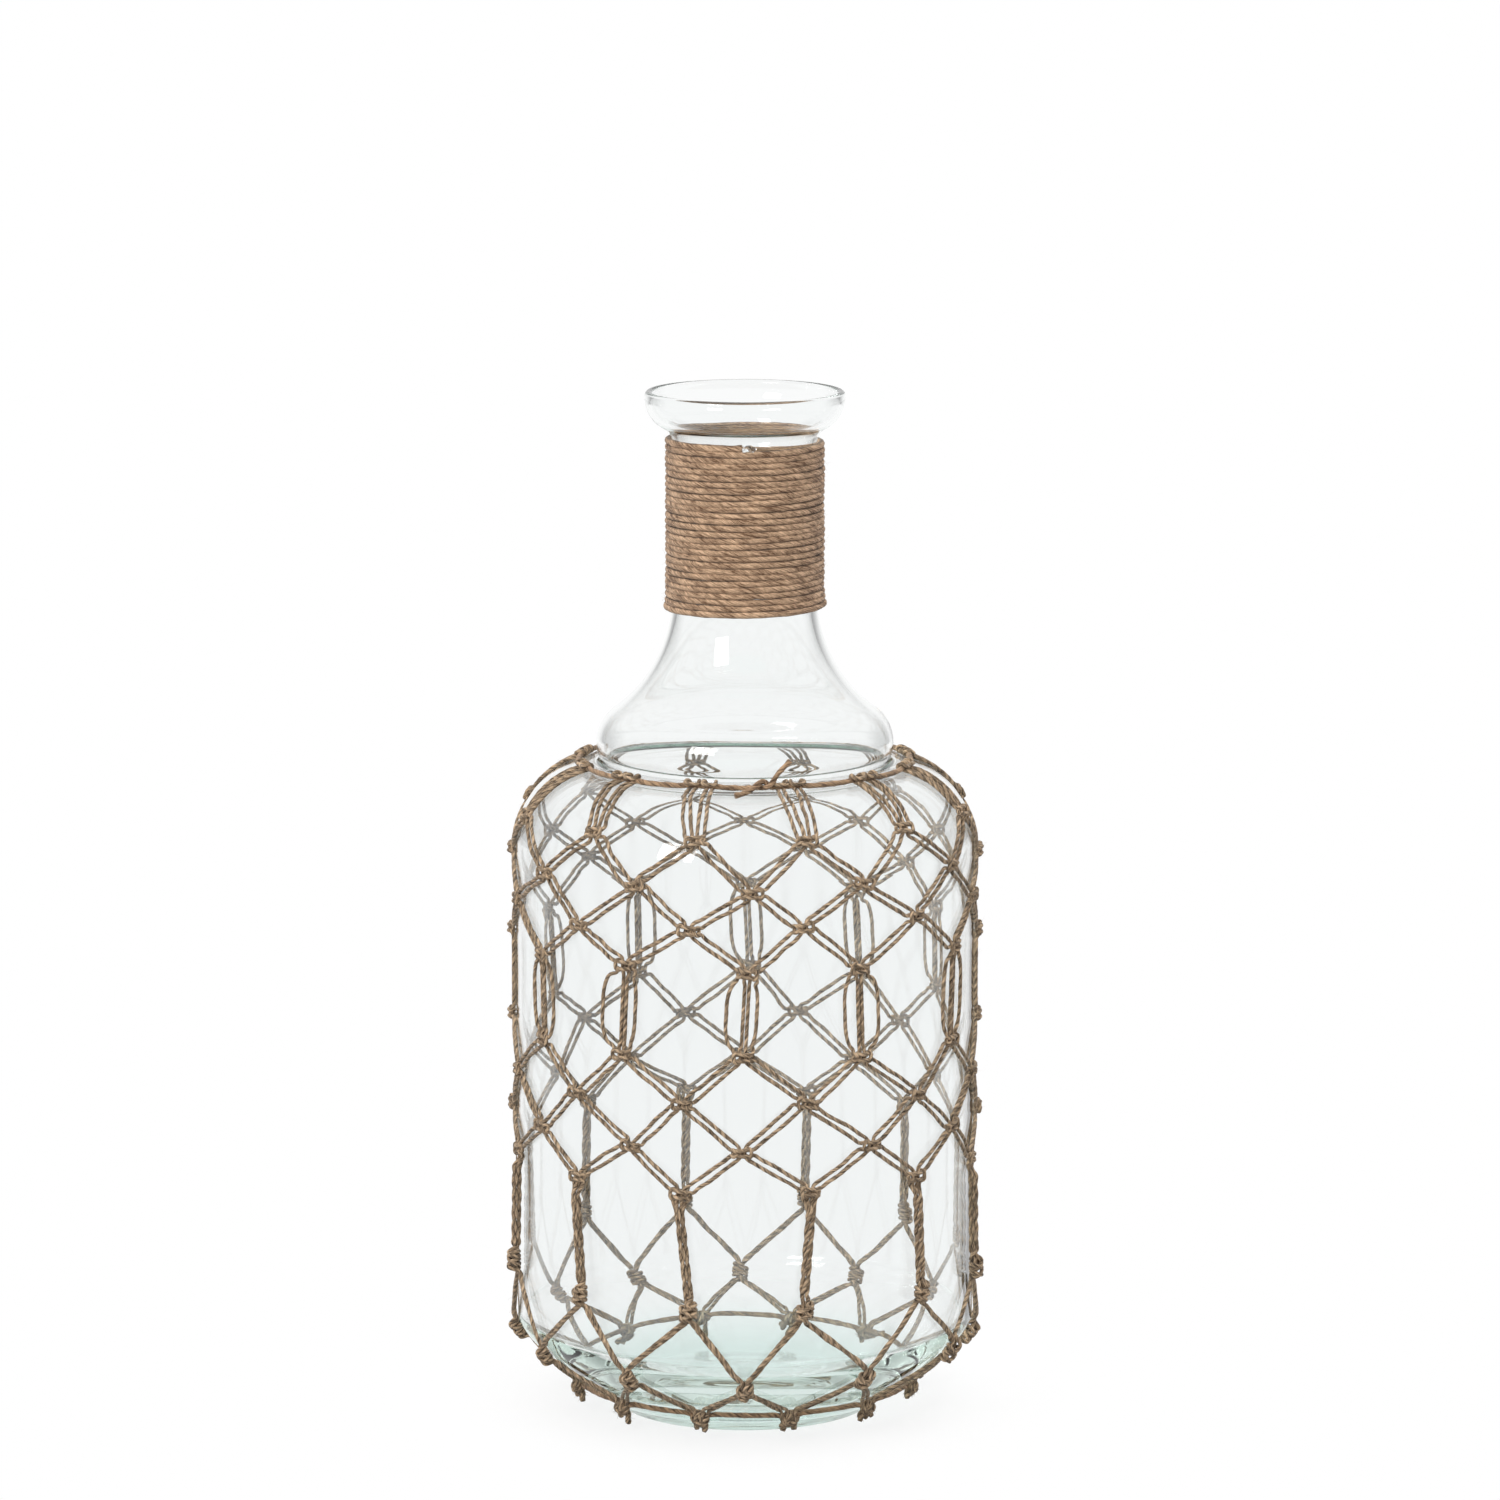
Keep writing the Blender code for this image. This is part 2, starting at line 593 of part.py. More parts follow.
def add_tie(ring, outline, along, home, cutters):
    """The knot of the shoulder ring and its two cut ends, joined to the ring."""
    lift = CLEARANCE + BEAD_WIDTH / 2
    centre = outline.place(BEAD_AZIMUTH, 0.0, along, lift)
    bpy.ops.mesh.primitive_uv_sphere_add(
        segments=BEAD_SIDES, ring_count=BEAD_SIDES // 2, radius=BEAD_WIDTH / 2
    )
    bead = bpy.context.object
    bead.name = "ring_knot"
    bead.location = centre
    bead.scale.x = BEAD_LENGTH / BEAD_WIDTH
    bead.rotation_euler.z = math.radians(BEAD_AZIMUTH)
    ways = {
        "ring_end_left": (-RING_END_LENGTH, RING_DIAMETER, RING_END_DIAMETER),
        "ring_end_right": (RING_END_LENGTH / 2, -RING_DIAMETER / 2, RING_END_LENGTH / 2 + BEAD_WIDTH),
    }
    pieces = [bead]
    for name, (across, down, up) in ways.items():
        start = outline.place(BEAD_AZIMUTH, 0.0, along, lift)
        end = outline.place(BEAD_AZIMUTH, across, along + down, up)
        end_cord = tube(name, [start, end], RING_END_DIAMETER, 6, home)
        pieces.append(as_mesh(end_cord, home))
    for piece in pieces:
        for owner in list(piece.users_collection):
            owner.objects.unlink(piece)
        cutters.objects.link(piece)
        piece.hide_render = True
        piece.display_type = "WIRE"
        union = ring.modifiers.new("join " + piece.name, "BOOLEAN")
        union.operation = "UNION"
        union.solver = "EXACT"
        union.object = piece


def smooth(obj):
    if obj.type == "MESH":
        obj.data.shade_smooth()
        obj.data.set_sharp_from_angle(angle=math.radians(40.0))


def main():
    clear_scene()
    home = bpy.data.collections.new("bottle_vase")
    helpers = bpy.data.collections.new("joined_shapes")
    bpy.context.scene.collection.children.link(home)
    bpy.context.scene.collection.children.link(helpers)
    outline = Outline()
    make_bottle(home)
    make_winding(home)
    on_shoulder = outline.on_shoulder(SHOULDER_RING_RADIUS)
    shoulder_ring = ring_cord("shoulder_ring_cord", outline, on_shoulder, home)
    add_tie(shoulder_ring, outline, on_shoulder, home, helpers)
    ring_cord("base_ring_cord", outline, outline.under_heel(BASE_RING_RADIUS), home)
    make_net(home, outline)
    for obj in home.objects:
        smooth(obj)
    helpers.hide_render = True


main()
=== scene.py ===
import math

import bpy
import numpy as np
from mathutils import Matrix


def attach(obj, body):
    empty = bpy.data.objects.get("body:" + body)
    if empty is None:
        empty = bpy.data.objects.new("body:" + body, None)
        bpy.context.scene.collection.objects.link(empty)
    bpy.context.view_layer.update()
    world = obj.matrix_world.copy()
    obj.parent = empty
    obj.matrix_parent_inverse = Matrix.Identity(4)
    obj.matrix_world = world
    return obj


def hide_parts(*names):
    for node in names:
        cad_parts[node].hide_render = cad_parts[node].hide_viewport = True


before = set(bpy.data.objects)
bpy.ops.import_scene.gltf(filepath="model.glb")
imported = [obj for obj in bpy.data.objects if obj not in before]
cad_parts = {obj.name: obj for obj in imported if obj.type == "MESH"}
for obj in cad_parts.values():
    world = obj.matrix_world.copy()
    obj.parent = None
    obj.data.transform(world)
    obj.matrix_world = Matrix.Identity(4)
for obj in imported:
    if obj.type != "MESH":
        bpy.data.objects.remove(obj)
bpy.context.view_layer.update()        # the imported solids, which the pieces below stand for
scene = bpy.context.scene
scene.view_settings.view_transform = "Standard"
mm = 0.001
fineStep = 0.25 * mm
rng = np.random.default_rng(41)

# Camera, floor and light

camera = {
    "distance": 3.428, "height": 0.9094, "pitch": 9.72, "focalPixels": 7205, "framePixels": 1500,
    "axisPixel": 744.9, "sensor": 36, "clip": (0.1, 20),
}


def makeCamera():
    data = bpy.data.cameras.new("camera")
    data.sensor_width = camera["sensor"]
    data.lens = camera["focalPixels"] / camera["framePixels"] * camera["sensor"]
    data.shift_x = (camera["framePixels"] / 2 - camera["axisPixel"]) / camera["framePixels"]
    data.clip_start, data.clip_end = camera["clip"]
    made = bpy.data.objects.new("camera", data)
    made.location = (0, -camera["distance"], camera["height"])
    made.rotation_euler = (math.radians(90 - camera["pitch"]), 0, 0)
    scene.collection.objects.link(made)
    scene.camera = made


# Meshes

def meshObject(name, points, faceSets, material, attributes=None, smooth=True):
    # points is (n, 3), and each face set is an (m, corners) array of point numbers
    mesh = bpy.data.meshes.new(name)
    corners = np.concatenate([faces.ravel() for faces in faceSets]).astype(np.int32)
    sizes = np.concatenate([np.full(len(faces), faces.shape[1]) for faces in faceSets])
    mesh.vertices.add(len(points))
    mesh.vertices.foreach_set("co", np.asarray(points, np.float32).ravel())
    mesh.loops.add(len(corners))
    mesh.loops.foreach_set("vertex_index", corners)
    mesh.polygons.add(len(sizes))
    mesh.polygons.foreach_set("loop_start", np.r_[0, np.cumsum(sizes)[:-1]].astype(np.int32))
    mesh.polygons.foreach_set("use_smooth", np.full(len(sizes), smooth))
    mesh.update(calc_edges=True)
    for key, values in (attributes or {}).items():
        kind, slot = ("FLOAT_VECTOR", "vector") if values.ndim == 2 else ("FLOAT", "value")
        layer = mesh.attributes.new(key, kind, "POINT")
        layer.data.foreach_set(slot, np.asarray(values, np.float32).ravel())
    mesh.materials.append(material)
    made = bpy.data.objects.new(name, mesh)
    scene.collection.objects.link(made)
    return made


def unit(vectors):
    return vectors / np.maximum(np.linalg.norm(vectors, axis=-1, keepdims=True), 1e-12)


def smoothLine(control, step):
    # cubic through the control points, the slope at each from the parabola through its neighbours
    control = np.asarray(control, float)
    gaps = np.maximum(np.linalg.norm(np.diff(control, axis=0), axis=1), 1e-6) ** 0.5
    knots = np.r_[0, np.cumsum(gaps)]
    slopes = np.gradient(control, knots, axis=0)
    count = int(np.linalg.norm(np.diff(control, axis=0), axis=1).sum() / step) + 2
    where = np.linspace(0, knots[-1], count)
    k = np.clip(np.searchsorted(knots, where, side="right") - 1, 0, len(gaps) - 1)
    t = ((where - knots[k]) / gaps[k])[:, None]
    h = gaps[k][:, None]
    first = (2 * t**3 - 3 * t**2 + 1) * control[k] + (t**3 - 2 * t**2 + t) * h * slopes[k]
    return first + (3 * t**2 - 2 * t**3) * control[k + 1] + (t**3 - t**2) * h * slopes[k + 1]


def evenly(line, place, spacing):
    # the line's points set at equal steps of real length, after place has put them in space
    lengths = np.r_[0, np.cumsum(np.linalg.norm(np.diff(place(line), axis=0), axis=1))]
    where = np.linspace(0, lengths[-1], int(lengths[-1] / spacing) + 2)
    return place(np.stack([np.interp(where, lengths, line[:, i]) for i in range(3)], 1))


def sideways(path, closed):
    # for each point the tangent, and a side that turns with the path and no more
    if closed:
        tangent = unit(np.roll(path, -1, 0) - np.roll(path, 1, 0))
    else:
        tangent = unit(np.gradient(path, axis=0))
    side = unit(np.cross(tangent, path * (1, 1, 0) + (0, 0, 1e-4)))
    if closed:
        return tangent, side
    ahead = tangent[:-1] + tangent[1:]
    lean = (side[:-1] * tangent[1:]).sum(1) / (1 + (tangent[:-1] * tangent[1:]).sum(1))
    carried = side[:-1] - lean[:, None] * ahead
    spin = np.arctan2(
        (np.cross(carried, side[1:]) * tangent[1:]).sum(1), (carried * side[1:]).sum(1)
    )
    turn = np.r_[0, np.cumsum(spin)][:, None]
    return tangent, side * np.cos(turn) - np.cross(tangent, side) * np.sin(turn)


handLaid = {
    "turnStep": 10 * mm, "turnWander": 0.55, "sizeStep": 5 * mm, "thinnest": -0.08, "thickest": 0.16,
    "flank": 0.96, "cutCrest": 0.1,
}


def layTwine(path, radius, twine, closed=False):
    # ring k is path[k] + r(a) (cos a side + sin a up), the plies showing as
    # r(a) = radius (1 - depth (1 - cos(plies (a - turn))) / 2), with turn a full circle for each lay length
    sides = twine["sides"]
    tangent, side = sideways(path, closed)
    up = np.cross(tangent, side)
    steps = np.linalg.norm(np.diff(path, axis=0), axis=1)
    length = np.r_[0, np.cumsum(steps)]
    whole = length[-1] + (np.linalg.norm(path[0] - path[-1]) if closed else 0)
    lay = whole / max(1, round(whole / twine["lay"])) if closed else twine["lay"]
    coarse = np.arange(0, whole + 2 * handLaid["turnStep"], handLaid["turnStep"])
    wander = rng.normal(0, handLaid["turnWander"], len(coarse)) * (0 if closed else 1)
    turn = 2 * np.pi * length / lay + np.interp(length, coarse, wander) + rng.uniform(0, 6)
    angles = np.arange(sides) * 2 * np.pi / sides
    around = angles[None] - turn[:, None]
    crestShade = (1 + np.cos(twine["plies"] * around)) / 2
    coarse = np.arange(0, whole + 2 * handLaid["sizeStep"], handLaid["sizeStep"])
    uneven = rng.normal(0, twine["uneven"], len(coarse))
    uneven = np.clip(uneven, handLaid["thinnest"], handLaid["thickest"])
    size = radius * np.interp(length, coarse, 1 + uneven)
    if not closed:
        size[: len(twine["ends"])] *= twine["ends"]
        size[-len(twine["ends"]):] *= twine["ends"][::-1]
    ring = size[:, None] * (1 - twine["depth"] * (1 - crestShade))
    out = np.cos(angles)[None, :, None] * side[:, None] + np.sin(angles)[None, :, None] * up[:, None]
    points = path[:, None] + ring[..., None] * out
    # painted shade: this mask darkens the colour in the grooves between the plies
    crestShade = 1 - twine["plyShade"] * (1 - crestShade)
    if "contactShade" in twine:
        # painted shade: darker where the turns of a winding touch, above and below
        crestShade = crestShade * np.clip((handLaid["flank"] - np.abs(out[..., 2])) / twine["contactShade"], 0, 1)
    count = len(path)
    rows = np.arange(count if closed else count - 1)
    a = (rows[:, None] * sides + np.arange(sides)[None])
    b = (rows[:, None] * sides + (np.arange(sides)[None] + 1) % sides)
    below = ((rows[:, None] + 1) % count - rows[:, None]) * sides
    quads = np.stack([a, b, b + below, a + below], -1).reshape(-1, 4)
    far = np.repeat(length[:, None], sides, 1) / (2 * radius)
    fibre = np.stack([np.cos(around), np.sin(around), far], -1)
    points = points.reshape(-1, 3)
    fibre = fibre.reshape(-1, 3)
    crestShade = crestShade.ravel()
    faceSets = [quads]
    if not closed:
        points = np.concatenate([points, path[[0, -1]]])
        fibre = np.concatenate([fibre, fibre[[0, -1]]])
        # the centres of the cut ends get a low mask value, which darkens their colour
        crestShade = np.concatenate([crestShade, np.full(2, handLaid["cutCrest"])])
        start, finish = np.full(sides, len(points) - 2), np.full(sides, len(points) - 1)
        first, last = np.arange(sides), (count - 1) * sides + np.arange(sides)
        faceSets.append(np.stack([first, start, np.roll(first, -1)], 1))
        faceSets.append(np.stack([last, np.roll(last, -1), finish], 1))
    return {"points": points, "faces": faceSets, "fibre": fibre, "crestShade": crestShade}


looseHair = {
    "segments": 5, "root": 0.85, "lift": (0.15, 0.75), "along": 0.9, "rise": 1.5,
    "bend": 0.5, "bendShare": 0.6, "taper": 0.75, "fibreLength": 40, "margin": 3,
}


def layHairs(path, radius, hairs):
    # a loose hair leaves the twine at a random point, runs along it and bends away:
    # root + length (0.9 t tangent + lift t^1.5 outward + bend t^2 aside), thinner towards its tip
    count = hairs["count"]
    segments = looseHair["segments"]
    tangent, side = sideways(path, False)
    up = np.cross(tangent, side)
    at = rng.integers(looseHair["margin"], len(path) - looseHair["margin"], count)
    angle = rng.uniform(0, 2 * np.pi, count)[:, None]
    out = np.cos(angle) * side[at] + np.sin(angle) * up[at]
    length = rng.uniform(*hairs["length"], count)[:, None]
    way = tangent[at] * rng.choice([-1, 1], count)[:, None]
    bend = np.cross(way, out) * rng.normal(0, looseHair["bend"], count)[:, None]
    lift = rng.uniform(*looseHair["lift"], count)[:, None]
    t = np.linspace(0, 1, segments)[None, :, None]
    root = path[at] + out * radius * looseHair["root"]
    line = root[:, None] + length[:, None] * (
        way[:, None] * t * looseHair["along"] + out[:, None] * lift[:, None] * t**looseHair["rise"]
        + bend[:, None] * t**2 * looseHair["bendShare"]
    )
    thick = hairs["radius"] * (1 - looseHair["taper"] * t)
    wing = np.cross(way, out)
    corners = [out, -0.5 * out + 0.87 * wing, -0.5 * out - 0.87 * wing]
    points = np.stack([line + thick * c[:, None] for c in corners], 2)
    base = (np.arange(count) * segments * 3)[:, None, None]
    row = (np.arange(segments - 1) * 3)[None, :, None]
    k = np.arange(3)[None, None]
    a, b = base + row + k, base + row + (k + 1) % 3
    quads = np.stack([a, b, b + 3, a + 3], -1).reshape(-1, 4)
    tip = base[:, 0] + (segments - 1) * 3
    caps = np.concatenate([base[:, 0] + [[2, 1, 0]], tip + [[0, 1, 2]]])
    points = points.reshape(-1, 3)
    fibre = np.repeat(rng.uniform(-1, 1, (count, 3)), segments * 3, 0) * (1, 1, looseHair["fibreLength"])
    return {"points": points, "faces": [quads, caps], "fibre": fibre, "crestShade": np.full(len(points), 1.0)}


def joined(parts):
    # several point and face sets as one, each set's point numbers moved past the sets before it
    starts = np.r_[0, np.cumsum([len(part["points"]) for part in parts])]
    faceSets = [faces + start for part, start in zip(parts, starts) for faces in part["faces"]]
    return {
        "points": np.concatenate([part["points"] for part in parts]),
        "faces": faceSets,
        "fibre": np.concatenate([part["fibre"] for part in parts]),
        "crestShade": np.concatenate([part["crestShade"] for part in parts]),
    }


def cordPiece(name, parts, material, slot, *nodes):
    whole = joined(parts)
    made = meshObject(
        name, whole["points"], whole["faces"], material, {"fibre": whole["fibre"], "crestShade": whole["crestShade"]}
    )
    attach(made, "root")
    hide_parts(*nodes)
    return made


# Materials

def addNode(tree, kind, inputs=None, **settings):
    made = tree.nodes.new("ShaderNode" + kind)
    for key, value in settings.items():
        setattr(made, key, value)
    for key, value in (inputs or {}).items():
        if isinstance(value, bpy.types.NodeSocket):
            tree.links.new(value, made.inputs[key])
        else:
            made.inputs[key].default_value = value
    return made


def mixColours(tree, share, one, two, blend="MIX"):
    # by number, because the colour sockets share their names with the others
    return addNode(
        tree, "Mix", {0: share, 6: one, 7: two}, data_type="RGBA", blend_type=blend, clamp_factor=True
    ).outputs[2]


def remapped(tree, value, given=(0, 1), wanted=(0, 1), soft=False):
    # the span given, as numbers or sockets, laid over the span wanted
    (start, end), (low, high) = given, wanted
    kind = "SMOOTHSTEP" if soft else "LINEAR"
    return addNode(tree, "MapRange", {
        "Value": value, "From Min": start, "From Max": end, "To Min": low, "To Max": high
    }, interpolation_type=kind).outputs[0]


def newMaterial(name):
    made = bpy.data.materials.new(name)
    made.use_nodes = True
    made.node_tree.nodes.clear()
    return made, made.node_tree


# the last value of each is how dark the painted shade in the grooves gets
juteTones = {
    "neckTwine": {"pale": (0.780, 0.525, 0.335, 1), "deep": (0.120, 0.056, 0.025, 1), "grooveshade": 0.36},
    "ringJute": {"pale": (0.660, 0.430, 0.255, 1), "deep": (0.060, 0.029, 0.013, 1), "grooveshade": 0.22},
    "netJute": {"pale": (0.790, 0.565, 0.360, 1), "deep": (0.020, 0.011, 0.005, 1), "grooveshade": 0.20},
}


juteLook = {
    "streaks": 2.6, "streakStretch": (1, 1, 0.30), "streakDetail": 5, "streakRough": 0.72,
    "patches": 0.28, "patchStretch": (0.25, 0.25, 0.22), "patchDetail": 2,
    "tones": (0.52, 0.78), "crestFull": 0.7, "rough": (0.95, 0.70),
    "bump": 0.55, "bumpDepth": 0.25 * mm, "gloss": 0.25, "sheen": 0.15, "sheenRough": 0.6,
}


def makeJuteGroup():
    # fine streaks along the plies over slow patches of tone, with painted shade darkening the colour where
    # the mask is low: in the grooves between plies and where turns touch
    group = bpy.data.node_groups.new("juteFibres", "ShaderNodeTree")
    for name, kind, value in (
        ("Pale", "NodeSocketColor", (0.5, 0.35, 0.2, 1)),
        ("Deep", "NodeSocketColor", (0.15, 0.09, 0.05, 1)),
        ("Grooveshade", "NodeSocketFloat", 0.4),
        ("Streaks", "NodeSocketFloat", juteLook["streaks"]),
        ("Patches", "NodeSocketFloat", juteLook["patches"]),
    ):
        group.interface.new_socket(name, in_out="INPUT", socket_type=kind).default_value = value
    for name, kind in (
        ("Color", "NodeSocketColor"), ("Rough", "NodeSocketFloat"), ("Height", "NodeSocketFloat"),
    ):
        group.interface.new_socket(name, in_out="OUTPUT", socket_type=kind)
    given = group.nodes.new("NodeGroupInput").outputs
    fibre = addNode(group, "Attribute", attribute_name="fibre").outputs["Vector"]
    crestShade = addNode(group, "Attribute", attribute_name="crestShade").outputs["Fac"]
    fine, slow = (
        addNode(group, "VectorMath", {0: fibre, 1: juteLook[key]}, operation="MULTIPLY").outputs[0]
        for key in ("streakStretch", "patchStretch")
    )
    streak = addNode(group, "TexNoise", {
        "Vector": fine, "Scale": given["Streaks"], "Detail": juteLook["streakDetail"],
        "Roughness": juteLook["streakRough"],
    }).outputs["Fac"]
    patch = addNode(
        group, "TexNoise", {"Vector": slow, "Scale": 1.0, "Detail": juteLook["patchDetail"]}
    ).outputs["Fac"]
    both = addNode(
        group, "Math", {0: patch, 1: given["Patches"], 2: streak}, operation="MULTIPLY_ADD"
    ).outputs[0]
    base = mixColours(group, remapped(group, both, juteLook["tones"]), given["Deep"], given["Pale"])
    # painted shade: the colour is multiplied down towards the groove value where the mask is low
    shade = remapped(group, crestShade, (0, juteLook["crestFull"]), (given["Grooveshade"], 1))
    dimmed = mixColours(group, 1.0, base, shade, "MULTIPLY")
    rough = remapped(group, streak, wanted=juteLook["rough"])
    result = group.nodes.new("NodeGroupOutput").inputs
    for key, value in (("Color", dimmed), ("Rough", rough), ("Height", both)):
        group.links.new(value, result[key])
    return group


def makeJute(name, group):
    made, tree = newMaterial(name)
    fibres = tree.nodes.new("ShaderNodeGroup")
    fibres.node_tree = group
    for key, value in juteTones[name].items():
        fibres.inputs[key.capitalize()].default_value = value
    bump = addNode(tree, "Bump", {
        "Strength": juteLook["bump"], "Distance": juteLook["bumpDepth"], "Height": fibres.outputs["Height"]
    })
    shader = addNode(tree, "BsdfPrincipled", {
        "Base Color": fibres.outputs["Color"], "Roughness": fibres.outputs["Rough"],
        "Normal": bump.outputs["Normal"], "Specular IOR Level": juteLook["gloss"],
        "Sheen Weight": juteLook["sheen"], "Sheen Roughness": juteLook["sheenRough"],
    })
    addNode(tree, "OutputMaterial", {"Surface": shader.outputs[0]})
    return made


glassTones = {
    "ior": 1.5, "inside": (0.20, 0.55, 0.38, 1), "density": 2.0, "shadow": (0.96, 0.98, 0.975, 1),
    "neckTint": (0.960, 0.968, 0.967, 1), "neckSpan": (0.285, 0.330),
    "bodyTint": (0.942, 0.953, 0.953, 1),
    "baseTint": (0.735, 0.865, 0.832, 1), "baseSpan": (0.003, 0.031),
}


def makeGlass():
    # clear with a faint tint in its thickness, and blue-green towards the foot
    made, tree = newMaterial("clearGlass")
    place = addNode(tree, "TexCoord").outputs["Object"]
    height = addNode(tree, "SeparateXYZ", {0: place}).outputs["Z"]
    share = remapped(tree, height, glassTones["baseSpan"], soft=True)
    low = mixColours(tree, share, glassTones["baseTint"], glassTones["bodyTint"])
    share = remapped(tree, height, glassTones["neckSpan"], soft=True)
    tint = mixColours(tree, share, low, glassTones["neckTint"])
    shader = addNode(tree, "BsdfPrincipled", {
        "Base Color": tint, "Metallic": 0.0, "Roughness": 0.0, "IOR": glassTones["ior"],
        "Transmission Weight": 1.0,
    })
    clear = addNode(tree, "BsdfTransparent", {"Color": glassTones["shadow"]})
    shadowRay = addNode(tree, "LightPath").outputs["Is Shadow Ray"]
    mixed = addNode(tree, "MixShader", {0: shadowRay, 1: shader.outputs[0], 2: clear.outputs[0]})
    inside = addNode(tree, "VolumeAbsorption", {
        "Color": glassTones["inside"], "Density": glassTones["density"]
    })
    addNode(tree, "OutputMaterial", {"Surface": mixed.outputs[0], "Volume": inside.outputs[0]})
    return made


# Glass bottle, by the sizes of the real one in metres

glass = {
    "height": 0.4968, "cupRadius": 0.0480, "cupRound": 0.0155, "cupFillet": 0.0080, "rimDepth": 0.0039,
    "neckRadius": 0.0348, "neckSweep": 0.0700,
    "bulbRadius": 0.0717, "bulbRound": 0.0200, "bulbHeight": 0.3264,
    "outerBend": (22, 2), "innerBend": (10, 4), "bendPull": 0.45, "crownExtra": 0.0008,
    "bodyRadius": 0.1110, "shoulderRound": 0.0400, "shoulderHeight": 0.2770,
    "heelHeight": 0.0449, "heelAngle": 40, "heelReach": 0.0214, "heelDrop": 0.0112,
    "footRadius": 0.0620, "innerFoot": 0.0601, "footRound": 0.0030,
    "wall": 0.0028, "lip": 0.0018, "baseThickness": 0.0085, "floorCrown": 0.0012,
    "ripple": 0.10 * mm, "rippleReach": 1.9 * mm, "wave": 0.16 * mm,
    "waves": ((1.0, 2, 21, 0), (0.6, 3, -34, 1), (0.4, 5, 60, 0)), "calmRadius": 0.03, "calmRim": 0.02,
    "cupPoints": 16, "sides": 216,
}


def arcLine(acrossAt, heightAt, size, start, end, count):
    # centre + size (cos a, sin a), with a from start to end in degrees
    a = np.radians(np.linspace(start, end, count))
    return np.stack([acrossAt + size * np.cos(a), heightAt + size * np.sin(a)], 1)


def bezierLine(points, count):
    a, b, c, d = (np.array(p, float) for p in points)
    t = np.linspace(0, 1, count)[:, None]
    return (1 - t)**3 * a + 3 * (1 - t)**2 * t * b + 3 * (1 - t) * t**2 * c + t**3 * d


def heelLine(inset, count):
    radius, top = glass["bodyRadius"] - inset, glass["heelHeight"] + inset
    foot = (glass["innerFoot"], glass["baseThickness"]) if inset else (glass["footRadius"], 0)
    angle = math.radians(glass["heelAngle"])
    run = (foot[0] + glass["heelReach"] * math.cos(angle), foot[1] + glass["heelReach"] * math.sin(angle))
    return bezierLine([(radius, top), (radius, top - glass["heelDrop"]), run, foot], count)


def sideLine(inset):
    # cup, collar, sweep, bulb and shoulder, each an arc moved inwards by inset,
    # with a soft bend in the crease
    cupAcross, cupHeight = glass["cupRadius"] - glass["cupRound"], glass["height"] - glass["rimDepth"]
    cup, fillet, neck = glass["cupRound"] - inset, glass["cupFillet"], glass["neckRadius"] - inset
    across = neck + fillet - cupAcross
    rise = math.sqrt((cup + fillet)**2 - across**2)
    lean = math.degrees(math.atan2(rise, across))
    parts = [arcLine(cupAcross, cupHeight, cup, 0, -lean, glass["cupPoints"])]
    parts.append(arcLine(neck + fillet, cupHeight - rise, fillet, 180 - lean, 180, 10)[1:])
    bulbAcross, bulb = glass["bulbRadius"] - glass["bulbRound"], glass["bulbRound"] - inset
    sweep = glass["neckSweep"] + inset
    across = neck + sweep - bulbAcross
    rise = math.sqrt((bulb + sweep)**2 - across**2)
    lean = math.degrees(math.atan2(rise, across))
    parts.append(arcLine(neck + sweep, glass["bulbHeight"] + rise, sweep, 180, 180 + lean, 30))
    steep, reach = glass["innerBend"] if inset else glass["outerBend"]
    parts.append(arcLine(bulbAcross, glass["bulbHeight"], bulb, lean, -steep, 30)[1:])
    a = np.radians(np.linspace(90 - reach, 0, 34))[:, None]
    size = glass["shoulderRound"] - inset - (glass["crownExtra"] * a / (np.pi / 2) if inset else 0)
    centre = np.array((glass["bodyRadius"] - glass["shoulderRound"], glass["shoulderHeight"]))
    shoulder = centre + size * np.concatenate([np.cos(a), np.sin(a)], 1)
    end, steep, over = parts[-1][-1], math.radians(steep), math.radians(90 - reach)
    bend = glass["bendPull"] * np.linalg.norm(shoulder[0] - end)
    parts.append(bezierLine([
        end, end - bend * np.array((math.sin(steep), math.cos(steep))),
        shoulder[0] - bend * np.array((math.sin(over), -math.cos(over))), shoulder[0],
    ], 18)[1:-1])
    return np.concatenate(parts + [shoulder])


def bottleLine():
    outer = np.concatenate([sideLine(0), heelLine(0, 40)[1:]])
    soft = outer[-1] - (glass["footRound"], 0)
    outer = np.concatenate([outer[:-3], bezierLine([outer[-3], outer[-1], outer[-1], soft], 7)])
    inner = np.concatenate([sideLine(glass["wall"]), heelLine(glass["wall"], 36)[1:]])
    floorAcross = np.linspace(glass["innerFoot"], 0, 40)
    crown = glass["floorCrown"] * (1 - (floorAcross / glass["innerFoot"])**2)
    ripple = glass["ripple"] * np.sin(floorAcross / glass["rippleReach"])
    ripple *= np.sin(np.pi * floorAcross / glass["innerFoot"])
    floor = np.stack([floorAcross, glass["baseThickness"] + crown + ripple], 1)
    lip = glass["lip"]
    rim = arcLine(glass["cupRadius"] - lip, glass["height"] - lip, lip, 180, 0, 11)
    under = np.stack([np.linspace(soft[0], 0, 12), np.zeros(12)], 1)
    return np.concatenate([floor[::-1], inner[::-1][1:], rim, outer, under[1:]]), len(floor) + len(inner)


def lathedFaces(rows, sides):
    # quads between the rows of a turned form, and fans to the poles, which are its last two points
    starts = np.arange(rows - 1)[:, None] * sides
    k = np.arange(sides)[None]
    a, b = starts + k, starts + (k + 1) % sides
    quads = np.stack([a, a + sides, b + sides, b], -1).reshape(-1, 4)
    first, last = np.arange(sides), (rows - 1) * sides + np.arange(sides)
    poles = np.full((2, sides), rows * sides) + [[0], [1]]
    top = np.stack([poles[0], first, np.roll(first, -1)], 1)
    low = np.stack([last, poles[1], np.roll(last, -1)], 1)
    return [quads, top, low]


